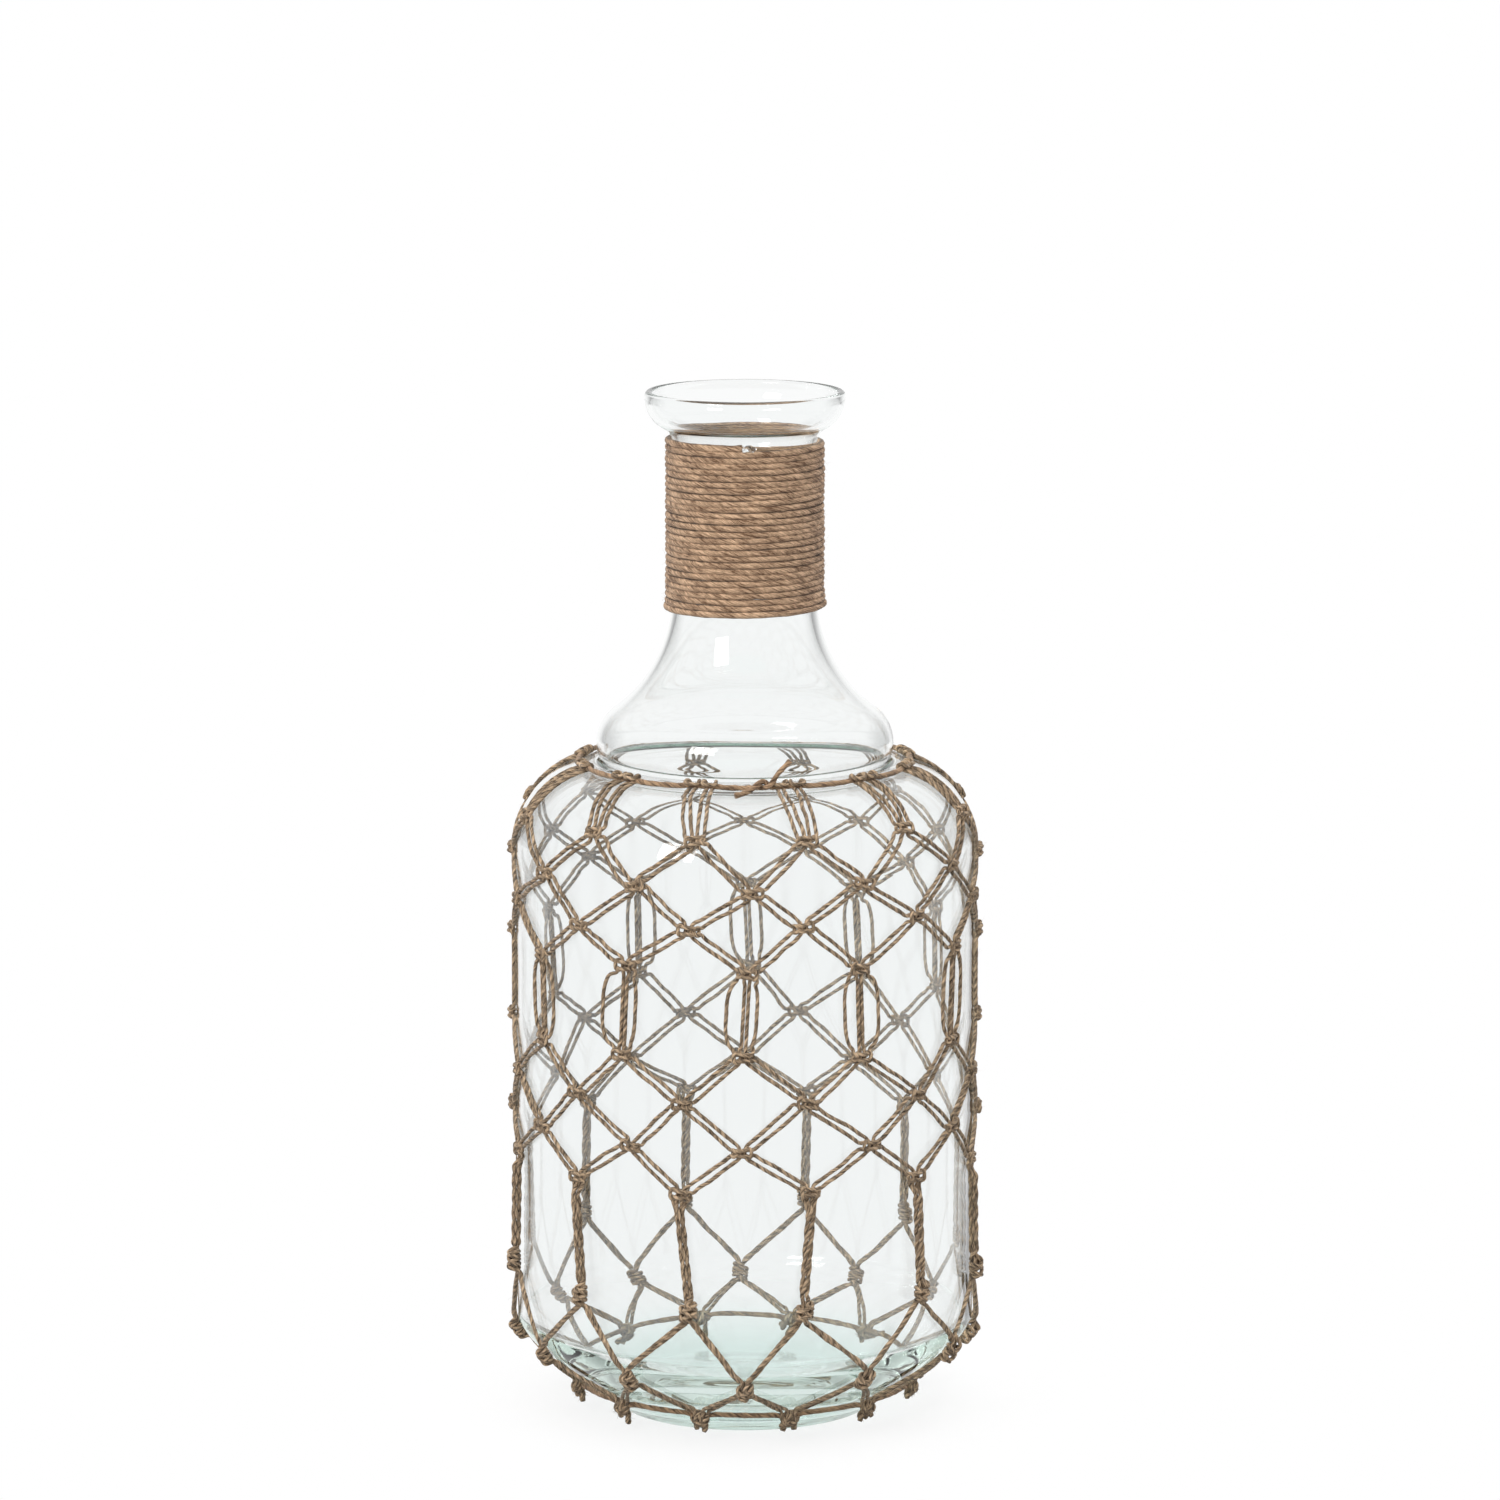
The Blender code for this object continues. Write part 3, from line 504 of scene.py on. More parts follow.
def makeBottle(material):
    # x = r sin a, y = -r cos a, z = h, and the inner wall has small waves as in hand-blown glass:
    # the sum of size sin(around a + up h + start)
    line, innerCount = bottleLine()
    sides = glass["sides"]
    angle = (np.arange(sides) * 2 * np.pi / sides)[None]
    r, h = line[1:-1, :1], line[1:-1, 1:]
    inner = (np.arange(1, len(line) - 1) < innerCount)[:, None]
    wave = sum(size * np.sin(around * angle + up * h + start) for size, around, up, start in glass["waves"])
    fade = np.clip(r / glass["calmRadius"], 0, 1)
    fade = fade * np.clip((glass["height"] - h) / glass["calmRim"], 0, 1)
    radius = r + np.where(inner, glass["wave"] * wave * fade, 0)
    points = np.stack([radius * np.sin(angle), -radius * np.cos(angle), h + 0 * angle], -1).reshape(-1, 3)
    points = np.concatenate([points, [[0, 0, line[0, 1]], [0, 0, line[-1, 1]]]])
    bottle = meshObject("glassBottle", points, lathedFaces(len(r), sides), material)
    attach(bottle, "root")
    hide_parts("glass_bottle")


# The glass where the net lies, as places along its outline from the crown of the shoulder to the foot

outlineSteps = {"arc": 120, "even": 1500, "edge": 6}


def makeOutline():
    middle = glass["bodyRadius"] - glass["shoulderRound"]
    shoulder = arcLine(middle, glass["shoulderHeight"], glass["shoulderRound"], 100, 0, outlineSteps["arc"])
    line = np.concatenate([shoulder, heelLine(0, outlineSteps["arc"])])
    keep = np.r_[True, np.linalg.norm(np.diff(line, axis=0), axis=1) > 1e-9]
    line = line[keep]
    along = np.r_[0, np.cumsum(np.linalg.norm(np.diff(line, axis=0), axis=1))]
    even = np.linspace(0, along[-1], outlineSteps["even"])
    line = np.stack([np.interp(even, along, line[:, i]) for i in (0, 1)], 1)
    down = unit(np.gradient(line, axis=0))
    # normals are averaged over the places to both sides
    edge = outlineSteps["edge"]
    kernel = np.ones(2 * edge + 1) / (2 * edge + 1)
    normal = np.stack([-down[:, 1], down[:, 0]], 1)
    padded = np.pad(normal, ((edge, edge), (0, 0)), mode="edge")
    normal = unit(np.stack([np.convolve(padded[:, i], kernel, "valid") for i in (0, 1)], 1))
    return {"along": even, "line": line, "normal": normal}


outline = makeOutline()


def alongAt(height):
    return float(np.interp(-height, -outline["line"][:, 1], outline["along"]))


def alongAtRadius(radius, under):
    line, along = outline["line"], outline["along"]
    half = len(along) // 2
    if under:
        return float(np.interp(-radius, -line[half:, 0], along[half:]))
    return float(np.interp(radius, line[:half, 0], along[:half]))


def onGlass(places):
    # places are (azimuth times the body's radius, along, lift): radius + normal lift, height + normal lift
    azimuth = places[:, 0] / glass["bodyRadius"]
    r, h, nr, nh = (
        np.interp(places[:, 1], outline["along"], column)
        for column in (*outline["line"].T, *outline["normal"].T)
    )
    r, h = r + nr * places[:, 2], h + nh * places[:, 2]
    return np.stack([r * np.sin(azimuth), -r * np.cos(azimuth), h], 1)


# Net: twenty-four doubled cords in twelve columns. Patterns are in mm: across, down, and lift off the glass

net = {
    "columns": 12, "spacing": 30,       # degrees between columns
    "strand": 1.0 * mm, "pointStep": 0.85 * mm,
    "rowHeights": (
        None, 0.2962, 0.2753, 0.2563, 0.2360, 0.1931, 0.1718, 0.1497, 0.1301, 0.0737, 0.0374, None,
    ),
    "rowTurns": (0, 0, 1, 0, 1, 1, 0, 1, 0, 0, 1, 0),
    "firstSeen": 9, "loopRow": 5, "loopsSeen": (10, 11, 0, 1, 2),
    "knotSizes": (0.93, 1.07), "jitterAcross": 1.8, "jitterDown": 1.1, "tilt": 7, "wander": 0.22,
    "headSpread": 4.1, "proud": 0.9, "proudOver": 2,        # how far the front heads stand out
    "runShares": (0.14, 0.38, 0.62, 0.86),
    "loopBow": (6.0, 10.0),
    "loopShares": (0.13, 0.21, 0.34, 0.50, 0.66, 0.79, 0.87),
    "loopWidths": (0.74, 0.90, 1.0, 1.0, 1.0, 0.90, 0.74),
    "loopCore": 1.02 * mm, "loopLift": 1.1 * mm, "lastAcross": 3.2,
    "bundleTurns": (0.9, 1.4), "bundleRadius": 1.5, "bundleLift": 3.0, "bundleEnds": (8.5 * mm, 8.0 * mm),
    "tail": (1.5, 4.5), "backTail": (5.0, 9.0), "tailShares": (0.35, 0.7, 1), "tailLean": 0.35,
    "tailCurl": 0.06, "tailDown": 0.62, "backTailDown": (-0.9, 0.2), "tailOut": 0.74,
    "hairs": {"count": 90, "length": (1.5 * mm, 4.5 * mm), "radius": 0.05 * mm},
    "fray": {"count": 40, "length": (1.5 * mm, 3.2 * mm), "radius": 0.14 * mm},
    "frayPoints": 11, "frayRoot": 0.7,
}
netTwine = {
    "sides": 10, "plies": 2, "lay": 9 * mm, "depth": 0.12, "plyShade": 0.85, "uneven": 0.06,
    "ends": (1.2, 1.5, 1.55, 1.5, 1.4, 1.3, 1.2, 1.1),
}
frontWorker = (
    (-5.5, -1.5, 1.05), (-3.8, -1.6, 1.9), (-1.9, -1.6, 3.0), (0.3, -1.5, 3.5), (2.3, -1.5, 3.0),
    (3.6, -1.4, 2.2), (4.5, -0.9, 1.7), (4.8, 0.0, 1.5), (4.5, 0.9, 1.7), (3.6, 1.4, 2.2),
    (2.3, 1.5, 3.0), (0.3, 1.5, 3.5), (-1.9, 1.6, 3.0), (-3.8, 1.6, 1.9), (-5.5, 1.5, 1.05),
)
backWorker = (
    (5.5, -1.5, 1.05), (4.6, -1.8, 2.0), (3.8, -1.5, 2.9), (3.0, -0.7, 2.6), (2.0, -0.5, 1.5),
    (0.0, -0.9, 1.0), (-1.7, -1.4, 1.05), (-2.6, -2.2, 1.9), (-3.4, -2.4, 2.8), (-4.1, -1.5, 3.1),
    (-4.3, 0.0, 3.0), (-4.1, 1.5, 3.1), (-3.4, 2.4, 2.8), (-2.6, 2.2, 1.9), (-1.7, 1.4, 1.05),
    (0.0, 0.9, 1.0), (2.0, 0.5, 1.5), (3.0, 0.7, 2.6), (3.8, 1.5, 2.9), (4.6, 1.8, 2.0), (5.5, 1.5, 1.05),
)
filler = ((2.2, -3.4, 1.05), (1.3, -1.8, 1.75), (1.0, 0.0, 2.1), (1.3, 1.8, 1.75), (2.2, 3.4, 1.05))
# across and down of a strand's ends, by whether it works, and whether it goes on down the same column
knotEnds = {
    (True, True): (4.9, 3.7), (True, False): (5.7, 1.5),
    (False, True): (1.3, 4.4), (False, False): (2.2, 3.4),
}
larksHead = (
    (1.3, 1.9, 2.9), (2.5, 2.0, 3.0), (3.2, 1.1, 3.3), (3.1, -0.5, 3.5), (2.6, -2.0, 2.8), (1.9, -2.2, 1.5),
    (1.5, -0.8, 1.0), (1.35, 1.4, 1.0), (1.3, 3.4, 1.0), (1.35, 5.2, 1.1), (1.4, 7.5, 1.1),
)
knotCore = ((1.2, -5.8, 2.4), (1.0, -3.6, 3.4), (1.0, 0.0, 3.8), (1.0, 3.6, 3.3), (1.3, 5.6, 2.0))
tieInner = (
    (2.2, -4.4, 1.6), (1.8, -2.6, 3.2), (1.5, -0.8, 5.4), (1.3, 1.2, 5.6),
    (1.1, 2.6, 3.6), (0.9, 1.6, 1.6), (0.6, -0.8, 1.3), (0.2, -2.6, 2.6),
    (-0.6, -2.8, 4.6), (-1.5, -1.2, 6.2), (-2.0, 1.0, 6.0), (-2.2, 2.6, 5.0),
)
tieFront = (
    (4.6, -3.2, 1.6), (4.0, -1.6, 3.0), (2.6, -0.9, 5.4), (0.4, -0.8, 7.0),
    (-2.0, -0.8, 6.4), (-3.8, -0.2, 4.2), (-4.0, 0.9, 3.0), (-2.8, 1.6, 3.6),
    (-0.8, 1.5, 6.4), (1.2, 2.0, 6.8), (2.6, 3.0, 6.2),
)
tieBack = (
    (4.6, -3.2, 1.6), (3.8, -2.2, 1.6), (2.0, -1.9, 1.4), (-0.4, -1.8, 1.5), (-2.6, -1.2, 2.4),
    (-4.0, 0.0, 4.2), (-3.0, 0.9, 6.0), (-0.8, 0.9, 7.0), (1.0, 1.0, 6.4), (2.0, 2.2, 5.2),
)
bigKnot = {
    "entry": (2.6, -6.0, 1.9), "firstEntry": (1.4, -6.2, 3.0), "leave": (2.8, 5.8, 1.8),
    "across": 3.3, "height": 7.4, "slant": 1.1, "lift": 4.0, "depth": 2.5, "points": 19,
}

# Where the knots in view lie against an even net, in mm across and down, each row from left to right
handShift = (
    ((0.0, 1.3), (7.0, 1.0), (4.5, 0.6), (1.4, 0.9), (-0.8, -0.7), (0.0, 0.0)),
    ((0.0, 0.6), (4.6, 2.0), (5.2, 0.8), (3.7, 2.2), (0.0, 0.0), (1.8, -0.6), (0.0, 1.7)),
    ((-2.0, 1.6), (1.3, 4.3), (2.6, 1.3), (-1.4, 0.0), (1.9, 0.2), (1.5, 0.0)),
    ((0.0, 0.8), (1.1, 2.8), (0.0, 0.0), (1.3, 1.3), (-2.6, 1.3), (5.0, 0.0), (0.0, 1.3)),
    ((0.0, 0.0), (3.1, 0.9), (-2.3, 0.2), (-0.9, -1.6), (-1.2, 1.1), (2.2, 2.0), (0.0, 0.5)),
    ((-2.0, 0.7), (-0.5, 1.1), (-0.8, 0.7), (0.2, 0.0), (3.5, 2.7), (1.5, 0.9)),
    ((0.0, 0.9), (1.3, 0.2), (2.2, 0.6), (-1.1, 1.0), (3.8, 0.9), (3.1, 0.9), (0.0, 2.7)),
    ((0.0, -1.7), (0.0, 0.2), (-1.5, 2.3), (1.7, 1.1), (2.5, 0.5), (1.0, 2.8)),
    ((-3.0, -2.6), (3.3, 0.9), (2.8, 2.4), (-1.4, 2.4), (4.6, 0.6), (3.0, 1.1)),
    ((0.0, 0.0), (-2.0, 0.0), (-0.8, 2.0), (0.0, 4.8), (2.6, 1.5), (3.5, -2.6), (0.0, 2.0)),
)

# How far the loops in view bow to the left and to the right, the same way
handBow = ((9.1, 8.5), (12.0, 6.0), (8.9, 5.3), (8.0, 10.0), (8.3, 9.8))


def makeKnots():
    # each row's knots, with the small faults of hand work
    knots = []
    size = net["columns"]
    for row in range(len(net["rowTurns"])):
        knots.append({
            "across": rng.normal(0, net["jitterAcross"], size) * mm,
            "down": rng.normal(0, net["jitterDown"], size) * mm,
            "tilt": np.radians(rng.normal(0, net["tilt"], size)),
            "size": rng.uniform(*net["knotSizes"], size),
            "lead": rng.choice([-1, 1], size),
            "twist": rng.choice([-1, 1], size) * rng.uniform(*net["bundleTurns"], size),
            "bow": rng.uniform(*net["loopBow"], (size, 2)) * mm,
        })
        if 0 < row < len(net["rowTurns"]) - 1:
            shift = np.array(handShift[row - 1])
            seen = (np.arange(len(shift)) + net["firstSeen"]) % size
            knots[row]["across"][seen] = shift[:, 0] * mm
            knots[row]["down"][seen] = shift[:, 1] * mm
    knots[net["loopRow"]]["bow"][list(net["loopsSeen"])] = np.array(handBow) * mm
    return knots


def endsTurned(pattern, row, works):
    # the knot's pattern with its first and last points set for the runs to the rows above and below
    turned = net["rowTurns"]
    for index, other, way in ((0, row - 1, -1), (-1, row + 1, 1)):
        across, down = knotEnds[works, turned[row] == turned[other]]
        if works and (row, way) == (8, 1):
            across = net["lastAcross"]
        pattern[index, :2] = math.copysign(across, pattern[index, 0]), way * down
    return pattern


def rowAlong(row):
    if row == 0:
        return alongAtRadius(shoulderRing["radius"], False)
    if row == len(net["rowTurns"]) - 1:
        return alongAtRadius(baseRing["radius"], True)
    return alongAt(net["rowHeights"][row])


class KnotPlace:
    # one knot of the net as a cord of the given column and hand meets it

    def __init__(self, knots, row, column, hand):
        turned = net["rowTurns"][row]
        index = (column + (1 if hand > 0 else 0)) % net["columns"] if turned else column
        self.azimuth = math.radians(net["spacing"] * (column + 0.5 + (hand / 2 if turned else 0)))
        self.side = -hand if turned else hand
        self.values = {key: values[index] for key, values in knots[row].items()}
        self.along = rowAlong(row)
        if row == 0:
            self.along += ringSag(shoulderRing, self.azimuth)
        if row == len(net["rowTurns"]) - 1:
            self.along += ringSag(baseRing, self.azimuth)
        if 0 < row < len(net["rowTurns"]) - 1:
            self.along += self.values["down"]
        else:
            self.values = dict(self.values, across=0.0, tilt=0.0, size=1.0)
        self.radius = float(np.interp(self.along, outline["along"], outline["line"][:, 0]))

    def at(self, pattern):
        # the pattern turned by the knot's tilt, scaled, and set at its place on the glass
        spots = np.array(pattern, float) * mm * self.values["size"]
        cos, sin = math.cos(self.values["tilt"]), math.sin(self.values["tilt"])
        across = spots[:, 0] * cos - spots[:, 1] * sin + self.values["across"]
        down = spots[:, 0] * sin + spots[:, 1] * cos
        azimuth = self.azimuth + across / self.radius
        return np.stack([azimuth * glass["bodyRadius"], self.along + down, spots[:, 2]], 1)


def mirrored(pattern, hand):
    return np.array(pattern, float) * (hand, 1, 1)


def bigKnotWrap(side):
    # two turns round the core, with a two full circles: sin a across, cos a off the glass, and down with a
    t = np.linspace(0, 1, bigKnot["points"])
    a = 4 * np.pi * t + (0 if side > 0 else np.pi)
    down = -bigKnot["height"] / 2 + bigKnot["height"] * t + bigKnot["slant"] * np.sin(a)
    wrap = np.stack([bigKnot["across"] * np.sin(a), down, bigKnot["lift"] + bigKnot["depth"] * np.cos(a)], 1)
    return mirrored(wrap, side)


def strandRoute(knots, column, hand, strand):
    # the places of one strand, from the bar of its lark's head down to its cut end
    head = KnotPlace(knots, 0, column, hand)
    spread = net["headSpread"]
    way = 1 if strand else -1
    proud = net["proud"] * max(0, math.cos(head.azimuth))
    route = [head.at([
        (hand * (spread + way * x), y, lift + proud * (lift > net["proudOver"])) for x, y, lift in larksHead
    ])]
    straight = np.array(net["runShares"])[:, None]
    for row in range(1, 9):
        knot = KnotPlace(knots, row, column, hand)
        side, lead = knot.side, knot.values["lead"]
        works = (strand == 1) != bool(net["rowTurns"][row])
        if not works:
            pattern = mirrored(filler, side)
        elif side == lead:
            pattern = mirrored(frontWorker, -side)
        else:
            pattern = mirrored(backWorker, side)
        pattern = endsTurned(pattern, row, works)
        if row == net["loopRow"]:
            above = KnotPlace(knots, row - 1, column, hand)
            out = side * (knot.values["bow"][int(side > 0)] if works else net["loopCore"])
            share = np.array(net["loopShares"])
            spots = [place.azimuth + place.values["across"] / place.radius for place in (above, knot)]
            across = np.interp(share, (0, 1), spots) * glass["bodyRadius"]
            across += out * (np.array(net["loopWidths"]) if works else 1)
            down = above.along + (knot.along - above.along) * share
            route.append(np.stack([across, down, np.full(len(share), net["loopLift"])], 1))
            route.append(knot.at(pattern))
            continue
        route.append(stretched(route[-1][-1], knot.at(pattern)[0], straight))
        route.append(knot.at(pattern))
    route.append(bundleRoute(knots, column, hand, strand))
    for row in (9, 10):
        knot = KnotPlace(knots, row, column, hand)
        core = (strand == 0) == (row == 9)
        side = knot.side
        if core:
            pattern = mirrored(knotCore, side)
        else:
            entry = bigKnot["entry" if row == 10 else "firstEntry"]
            entry, leave = mirrored([entry], side), mirrored([bigKnot["leave"]], side)
            pattern = np.concatenate([entry, bigKnotWrap(side), leave])
        if row == 10:
            route.append(stretched(route[-1][-1], knot.at(pattern)[0], straight))
        route.append(knot.at(pattern))
    tie = KnotPlace(knots, 11, column, hand)
    outer = tieFront if tie.side == tie.values["lead"] else tieBack
    pattern = mirrored(outer if strand else tieInner, hand)
    last = pattern[-1]
    front = math.cos(tie.azimuth) > 0
    tail = rng.uniform(*net["tail" if front else "backTail"])
    lean, curl = rng.normal(0, net["tailLean"]), rng.normal(0, net["tailCurl"])
    down = net["tailDown"] if front else rng.uniform(*net["backTailDown"])
    t = tail * np.array(net["tailShares"])
    ends = last + np.stack([lean * t, (down - curl * t) * t, net["tailOut"] * t], 1)
    pattern = tie.at(np.concatenate([pattern, ends]))
    route.append(stretched(route[-1][-1], pattern[0], straight))
    route.append(pattern)
    return np.concatenate(route)


def stretched(start, end, shares):
    # a taut run from start to end, with small bends of the twine
    bends = rng.normal(0, net["wander"] * mm, (len(shares), 3)) * (1, 1, 0.2)
    return start + (end - start) * shares + bends


def bundleRoute(knots, column, hand, strand):
    # the four strands below the eighth row, twisted: the bundle's radius times cos a across and sin a outward
    top, low = KnotPlace(knots, 8, column, hand), KnotPlace(knots, 9, column, hand)
    start = {(1, 1): 0, (-1, 0): 90, (-1, 1): 180, (1, 0): 270}[(hand, strand)]
    t = np.linspace(0, 1, 14)
    a = math.radians(start) + 2 * np.pi * top.values["twist"] * t
    begin, end = top.along + net["bundleEnds"][0], low.along - net["bundleEnds"][1]
    drift = np.interp(t, (0, 1), (top.values["across"], low.values["across"]))
    across = net["bundleRadius"] * mm * np.cos(a) + drift
    return np.stack([
        (top.azimuth + across / top.radius) * glass["bodyRadius"],
        begin + (end - begin) * t,
        (net["bundleLift"] + net["bundleRadius"] * np.sin(a)) * mm,
    ], 1)


def makeNet(material):
    knots = makeKnots()
    for word, hand in (("Left", -1), ("Right", 1)):
        for column in range(net["columns"]):
            halves = [strandRoute(knots, column, hand, strand) for strand in (0, 1)]
            route = np.concatenate([halves[0][::-1], halves[1]])
            path = evenly(smoothLine(route, fineStep), onGlass, net["pointStep"])
            strand = layTwine(path, net["strand"], netTwine)
            hairs = layHairs(path, net["strand"], net["hairs"])
            ends = path[:net["frayPoints"]], path[-net["frayPoints"]:]
            frays = [layHairs(end, net["frayRoot"] * net["strand"], net["fray"]) for end in ends]
            cordPiece(
                "netCord%s%02d" % (word, column + 1), [strand, hairs, *frays], material, "net_jute",
                "net_cord_%s_%02d" % (word.lower(), column + 1),
            )


# Rings

# The cut ends are in degrees round the vase, mm down the glass from the ring, and mm off the glass
shoulderRing = {
    "radius": 0.0793, "sag": 4.7 * mm, "cord": 1.35 * mm, "lift": 1.5 * mm, "rise": 0.5 * mm, "reach": 5,
    "span": (9, 361, 1.5), "pointStep": 0.9 * mm,
    "waves": ((0.3 * mm, 7, 0),),
    "hairs": {"count": 60, "length": (2 * mm, 5 * mm), "radius": 0.05 * mm},
    "leftEnd": ((-3.0, 8.5, 2.2), (-1.0, 7.0, 2.0), (2.0, 4.0, 2.6), (4.4, 1.6, 4.2), (6.4, -0.2, 4.6)),
    "rightEnd": (
        (364.0, 0.0, 1.8), (366.0, 0.4, 1.8), (367.6, 2.4, 3.0), (369.2, 2.2, 5.8),
        (370.8, 0.6, 8.4), (373.2, -0.6, 11.4), (375.4, -1.2, 14.2),
    ),
}
baseRing = {
    "radius": 0.0812, "sag": -6.5 * mm, "cord": 1.35 * mm, "lift": 1.8 * mm, "rise": 1.2 * mm, "reach": 1.5,
    "points": 420,
    "waves": ((0.35 * mm, 5, 40), (0.25 * mm, 11, 0)),
}
ringTwine = {
    "sides": 12, "plies": 2, "lay": 13 * mm, "depth": 0.10, "plyShade": 0.6, "uneven": 0.055,
    "ends": (1.15, 1.2, 1.12),
}
riseBell = 2.2


def ringSag(ring, azimuth):
    # a ring lies further down or up the glass at the back: sag ((1 - cos azimuth) / 2)^3
    return ring["sag"] * ((1 - np.cos(azimuth)) / 2)**3


def ringWave(ring, azimuth):
    # small waves by hand, the sum of size sin(count azimuth + start), on top of the sag
    return sum(size * np.sin(np.radians(azimuth * count + start)) for size, count, start in ring["waves"]) + (
        ringSag(ring, np.radians(azimuth))
    )


def ringLift(ring, azimuth):
    # the ring rides over the cords behind it at each column: rise times a bell of the distance
    apart = np.abs(azimuth % net["spacing"] - net["spacing"] / 2)
    return ring["lift"] + ring["rise"] * np.exp(-(np.maximum(apart - ring["reach"], 0) / riseBell)**2)


def makeRings(material):
    azimuth = np.linspace(0, 360, baseRing["points"], endpoint=False)
    down = alongAtRadius(baseRing["radius"], True) + ringWave(baseRing, azimuth)
    places = [np.radians(azimuth) * glass["bodyRadius"], down, ringLift(baseRing, azimuth)]
    path = onGlass(np.stack(places, 1))
    base = layTwine(path, baseRing["cord"], ringTwine, closed=True)
    cordPiece("baseRing", [base], material, "ring_jute", "base_ring_cord")

    along = alongAtRadius(shoulderRing["radius"], False)
    azimuth = np.arange(*shoulderRing["span"])
    down = along + ringWave(shoulderRing, azimuth)
    ring = np.stack([azimuth, down, ringLift(shoulderRing, azimuth)], 1)
    left, right = (
        np.array(shoulderRing[end]) * (1, mm, mm) + (0, along, 0) for end in ("leftEnd", "rightEnd")
    )
    route = np.concatenate([left, ring, right])
    route[:, 0] = np.radians(route[:, 0]) * glass["bodyRadius"]
    path = evenly(smoothLine(route, fineStep), onGlass, shoulderRing["pointStep"])
    cord = layTwine(path, shoulderRing["cord"], ringTwine)
    hairs = layHairs(path, shoulderRing["cord"], shoulderRing["hairs"])
    cordPiece("shoulderRing", [cord, hairs], material, "ring_jute", "shoulder_ring_cord")


# Twine round the neck

winding = {
    "turns": 27.5, "top": 0.4752, "bottom": 0.3905, "cord": 1.63 * mm, "startAzimuth": 178, "gap": 0.2 * mm,
    "radius": 0.0366, "pointStep": 1.35 * mm, "wanderStep": 0.15, "sway": 0.19, "swell": 0.16,
    "calmTurns": 4, "leastSway": 0.2, "drift": 0.55 * mm, "driftPace": 0.9,
    "startLift": 0.5 * mm, "startTurns": 2.6,
    "hairs": {"count": 900, "length": (1.5 * mm, 5 * mm), "radius": 0.05 * mm},
}
neckTwine = {
    "sides": 16, "plies": 3, "lay": 22 * mm, "depth": 0.05, "plyShade": 0.40, "contactShade": 0.22, "uneven": 0.06,
    "ends": (1.06, 1.12, 1.06),
}


def makeWinding(material):
    # height climbs steadily with the angle, radius follows the neck, both with small slow waves,
    # and the first turns stand out by startLift e^(-(turn / startTurns)^2)
    count = int(winding["turns"] * 2 * np.pi * winding["radius"] / winding["pointStep"])
    turn = np.linspace(0, winding["turns"], count)
    cord = winding["cord"]
    low, high = winding["bottom"] + cord, winding["top"] - cord
    coarse = np.arange(0, winding["turns"] + 1, winding["wanderStep"])
    sway = np.interp(turn, coarse, rng.normal(0, winding["sway"], len(coarse)))
    sway *= np.clip(turn / winding["calmTurns"], winding["leastSway"], 1) * mm
    swell = np.interp(turn, coarse, np.abs(rng.normal(0, winding["swell"], len(coarse)))) * mm
    drift = winding["drift"] * np.sin(2 * np.pi * turn) * np.sin(turn * winding["driftPace"])
    drift *= np.sin(np.pi * turn / winding["turns"])
    height = low + (high - low) * turn / winding["turns"] + sway + drift
    side = sideLine(0)
    neck = slice(glass["cupPoints"], int(np.argmax(side[:, 1] < glass["bulbHeight"])))
    radius = np.interp(-height, -side[neck, 1], side[neck, 0]) + winding["gap"] + cord + swell
    radius += winding["startLift"] * np.exp(-(turn / winding["startTurns"])**2)
    angle = np.radians(winding["startAzimuth"]) + 2 * np.pi * turn
    path = np.stack([radius * np.sin(angle), -radius * np.cos(angle), height], 1)
    twine = layTwine(path, cord, neckTwine)
    hairs = layHairs(path, cord, winding["hairs"])
    cordPiece("neckWinding", [twine, hairs], material, "neck_twine", "neck_winding")
    return path[-1]


glueDrop = {
    "size": (3.2, 1.7, 2.1), "place": (3.2, -0.4, -0.5), "waves": (0.12, 0.08), "sides": 28, "rows": 16,
}


def makeGlueDrop(end, material):
    # a small ball, drawn out along the twine and uneven: radius = 1 + waves of the two angles
    sides, rows = glueDrop["sides"], glueDrop["rows"]
    a = (np.arange(sides) * 2 * np.pi / sides)[None]
    b = np.linspace(0, np.pi, rows + 2)[1:-1, None]
    one, two = glueDrop["waves"]
    r = 1 + one * np.sin(3 * a + 2 * b) * np.sin(b) + two * np.sin(2 * a - 3 * b)
    ball = np.stack([r * np.sin(b) * np.cos(a), r * np.sin(b) * np.sin(a), r * np.cos(b) + 0 * a], -1)
    ball = np.concatenate([ball.reshape(-1, 3), [[0, 0, 1], [0, 0, -1]]])
    ball = ball * np.array(glueDrop["size"]) * mm + end + np.array(glueDrop["place"]) * mm
    drop = meshObject("glueDrop", ball, lathedFaces(rows, sides), material)
    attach(drop, "root")


# Floor, world and lamp

studio = {
    "floorSize": 2.6, "floorDrop": 0.4 * mm, "floorShade": 0.20, "floorFade": (0.07, 0.20),
    "floorWhite": (0.92, 0.92, 0.92, 1), "floorBounce": (0.42, 0.42, 0.42, 1),
    "skySpan": (-0.2, 1.0), "sky": (0.27, 1.47),
    "room": 0.38, "roomNear": (0.40, 0.60), "roomFar": (0.80, 0.97), "roomTop": (0.05, 0.45),
    "boxPower": 22, "boxSize": (0.80, 0.90), "boxPlace": (-1.35, -1.85, 1.55), "boxAim": (0, 0, 0.33),
    "bounces": 40, "clearBounces": 24,
}


def larger(tree, one, two):
    return addNode(tree, "Math", {0: one, 1: two}, operation="MAXIMUM").outputs[0]


def seenRays(tree):
    # 1 for rays from the camera, off gloss and through glass, which see the white backdrop
    path = addNode(tree, "LightPath").outputs
    some = larger(tree, path["Is Camera Ray"], path["Is Glossy Ray"])
    return larger(tree, some, path["Is Transmission Ray"])


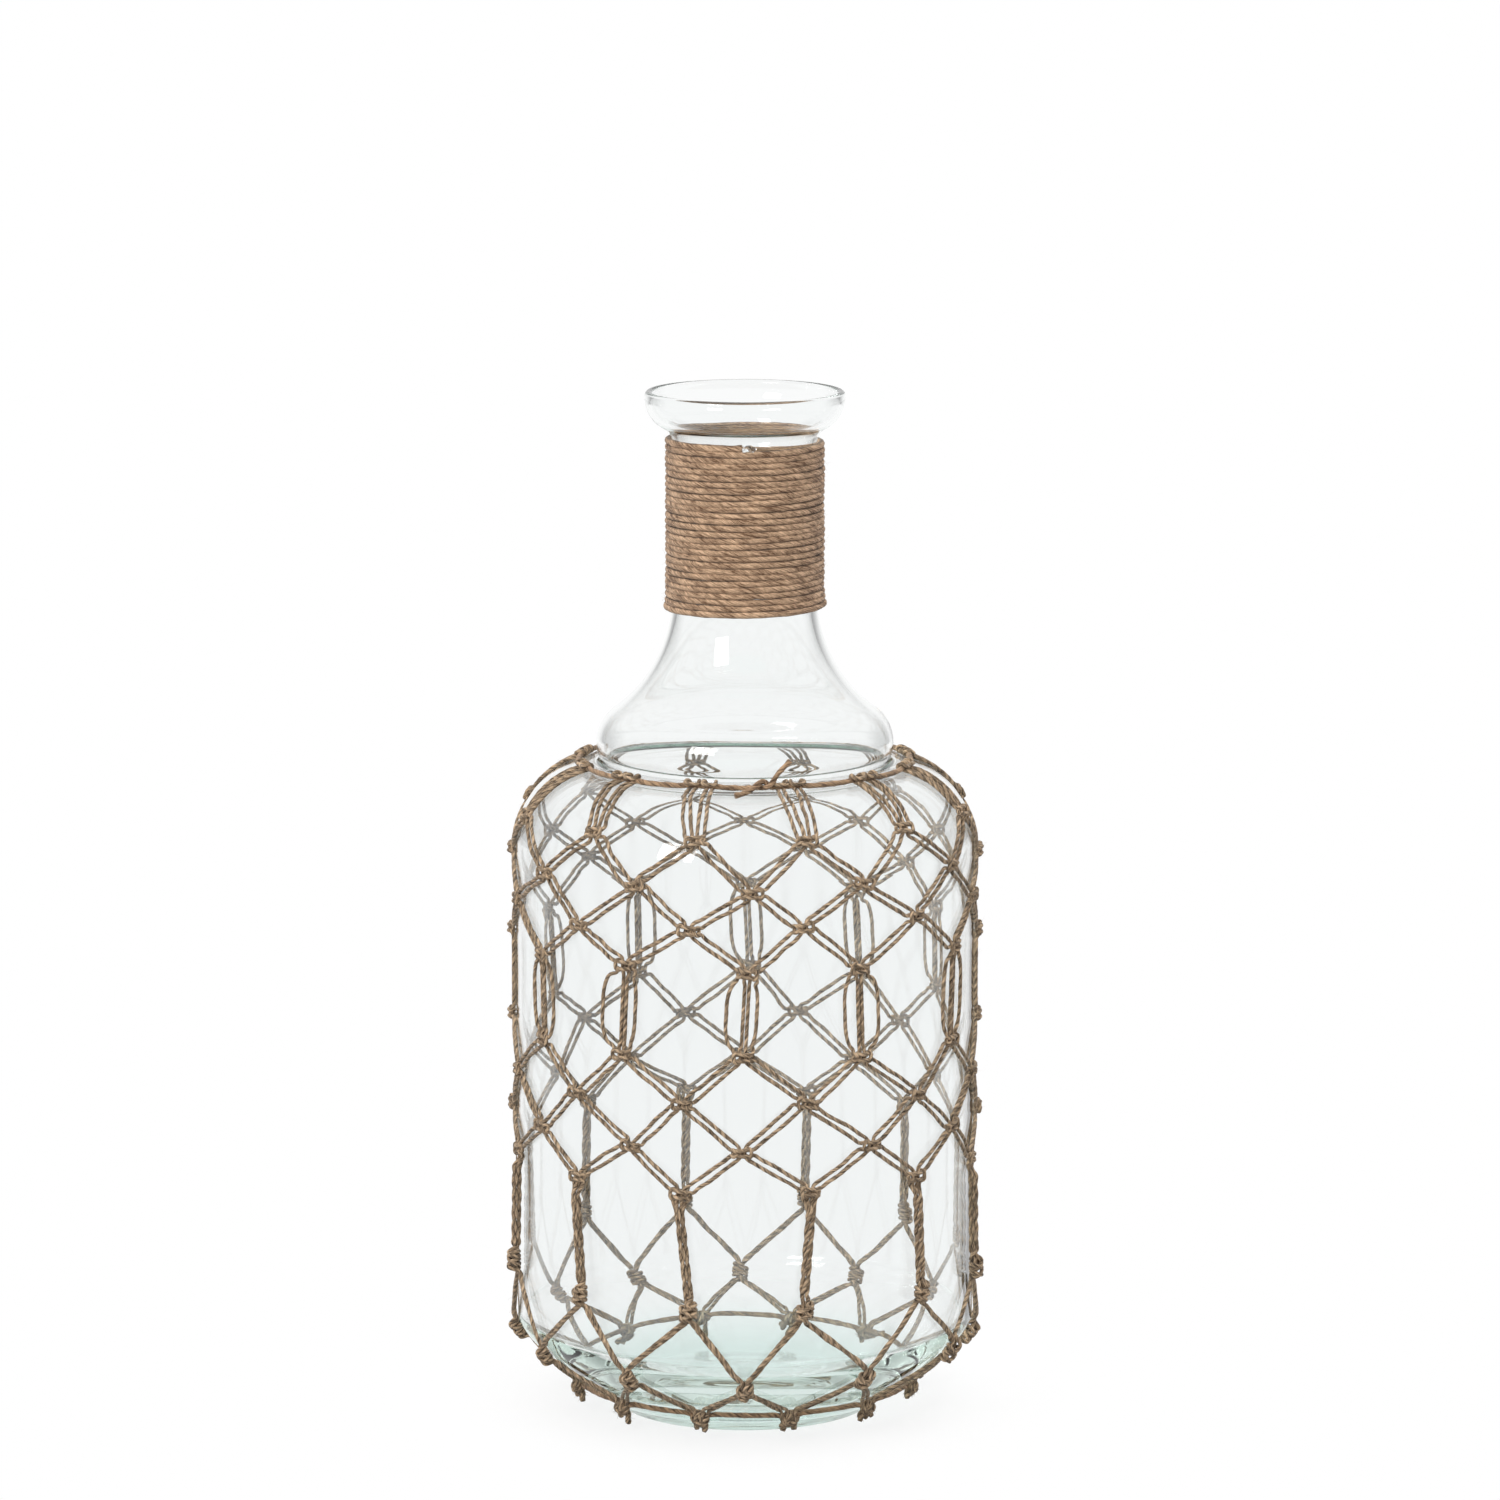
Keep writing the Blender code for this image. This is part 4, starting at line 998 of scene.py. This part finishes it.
def makeStudio():
    half = studio["floorSize"]
    corners = np.array([(-half, -half), (half, -half), (half, half), (-half, half)])
    points = np.concatenate([corners, np.full((4, 1), -studio["floorDrop"])], 1)
    made, tree = newMaterial("paleFloor")
    place = addNode(tree, "TexCoord").outputs["Object"]
    away = addNode(tree, "VectorMath", {0: place}, operation="LENGTH").outputs["Value"]
    near = remapped(tree, away, studio["floorFade"], (studio["floorShade"], 0), soft=True)
    diffuse = addNode(tree, "BsdfDiffuse", {"Color": studio["floorWhite"]})
    white = addNode(tree, "Emission", {"Color": (1, 1, 1, 1), "Strength": 1.0})
    seen = addNode(tree, "MixShader", {0: near, 1: white.outputs[0], 2: diffuse.outputs[0]})
    dim = addNode(tree, "BsdfDiffuse", {"Color": studio["floorBounce"]})
    mixed = addNode(tree, "MixShader", {0: seenRays(tree), 1: dim.outputs[0], 2: seen.outputs[0]})
    addNode(tree, "OutputMaterial", {"Surface": mixed.outputs[0]})
    floor = meshObject("floor", points, [np.array([[0, 1, 2, 3]])], made, smooth=False)

    world = bpy.data.worlds.new("studio")
    scene.world = world
    world.use_nodes = True
    tree = world.node_tree
    tree.nodes.clear()
    way = addNode(tree, "SeparateXYZ", {0: addNode(tree, "TexCoord").outputs["Generated"]}).outputs
    sky = remapped(tree, way["Z"], studio["skySpan"], studio["sky"])
    # glass and gloss see a darker room in a ring round what is straight behind, and white above
    room = studio["room"]
    near = remapped(tree, way["Y"], studio["roomNear"], (1, room), soft=True)
    far = remapped(tree, way["Y"], studio["roomFar"], (room, 1), soft=True)
    above = remapped(tree, way["Z"], studio["roomTop"], (room, 1), soft=True)
    around = larger(tree, larger(tree, near, far), above)
    cameraRay = addNode(tree, "LightPath").outputs["Is Camera Ray"]
    backdrop = remapped(tree, cameraRay, wanted=(around, 1))
    level = remapped(tree, seenRays(tree), wanted=(sky, backdrop))
    light = addNode(tree, "Background", {"Color": (1, 1, 1, 1), "Strength": level})
    addNode(tree, "OutputWorld", {"Surface": light.outputs[0]})

    lamp = bpy.data.lights.new("softBox", "AREA")
    lamp.shape = "RECTANGLE"
    lamp.size, lamp.size_y = studio["boxSize"]
    lamp.energy = studio["boxPower"]
    made = bpy.data.objects.new("softBox", lamp)
    made.location = studio["boxPlace"]
    aim = np.array(studio["boxAim"]) - np.array(studio["boxPlace"])
    made.rotation_euler = (math.acos(-aim[2] / np.linalg.norm(aim)), 0, math.atan2(-aim[0], aim[1]))
    made.visible_camera = False
    scene.collection.objects.link(made)


def main():
    makeCamera()
    juteGroup = makeJuteGroup()
    jute = {name: makeJute(name, juteGroup) for name in juteTones}
    clearGlass = makeGlass()
    print("materials made")
    makeBottle(clearGlass)
    print("bottle made")
    end = makeWinding(jute["neckTwine"])
    makeGlueDrop(end, clearGlass)
    print("winding made")
    makeRings(jute["ringJute"])
    print("rings made")
    makeNet(jute["netJute"])
    print("net made")
    makeStudio()
    scene.cycles.max_bounces = studio["bounces"]
    scene.cycles.glossy_bounces = studio["bounces"]
    scene.cycles.transmission_bounces = studio["bounces"]
    scene.cycles.transparent_max_bounces = studio["clearBounces"]
    print("studio made")


main()
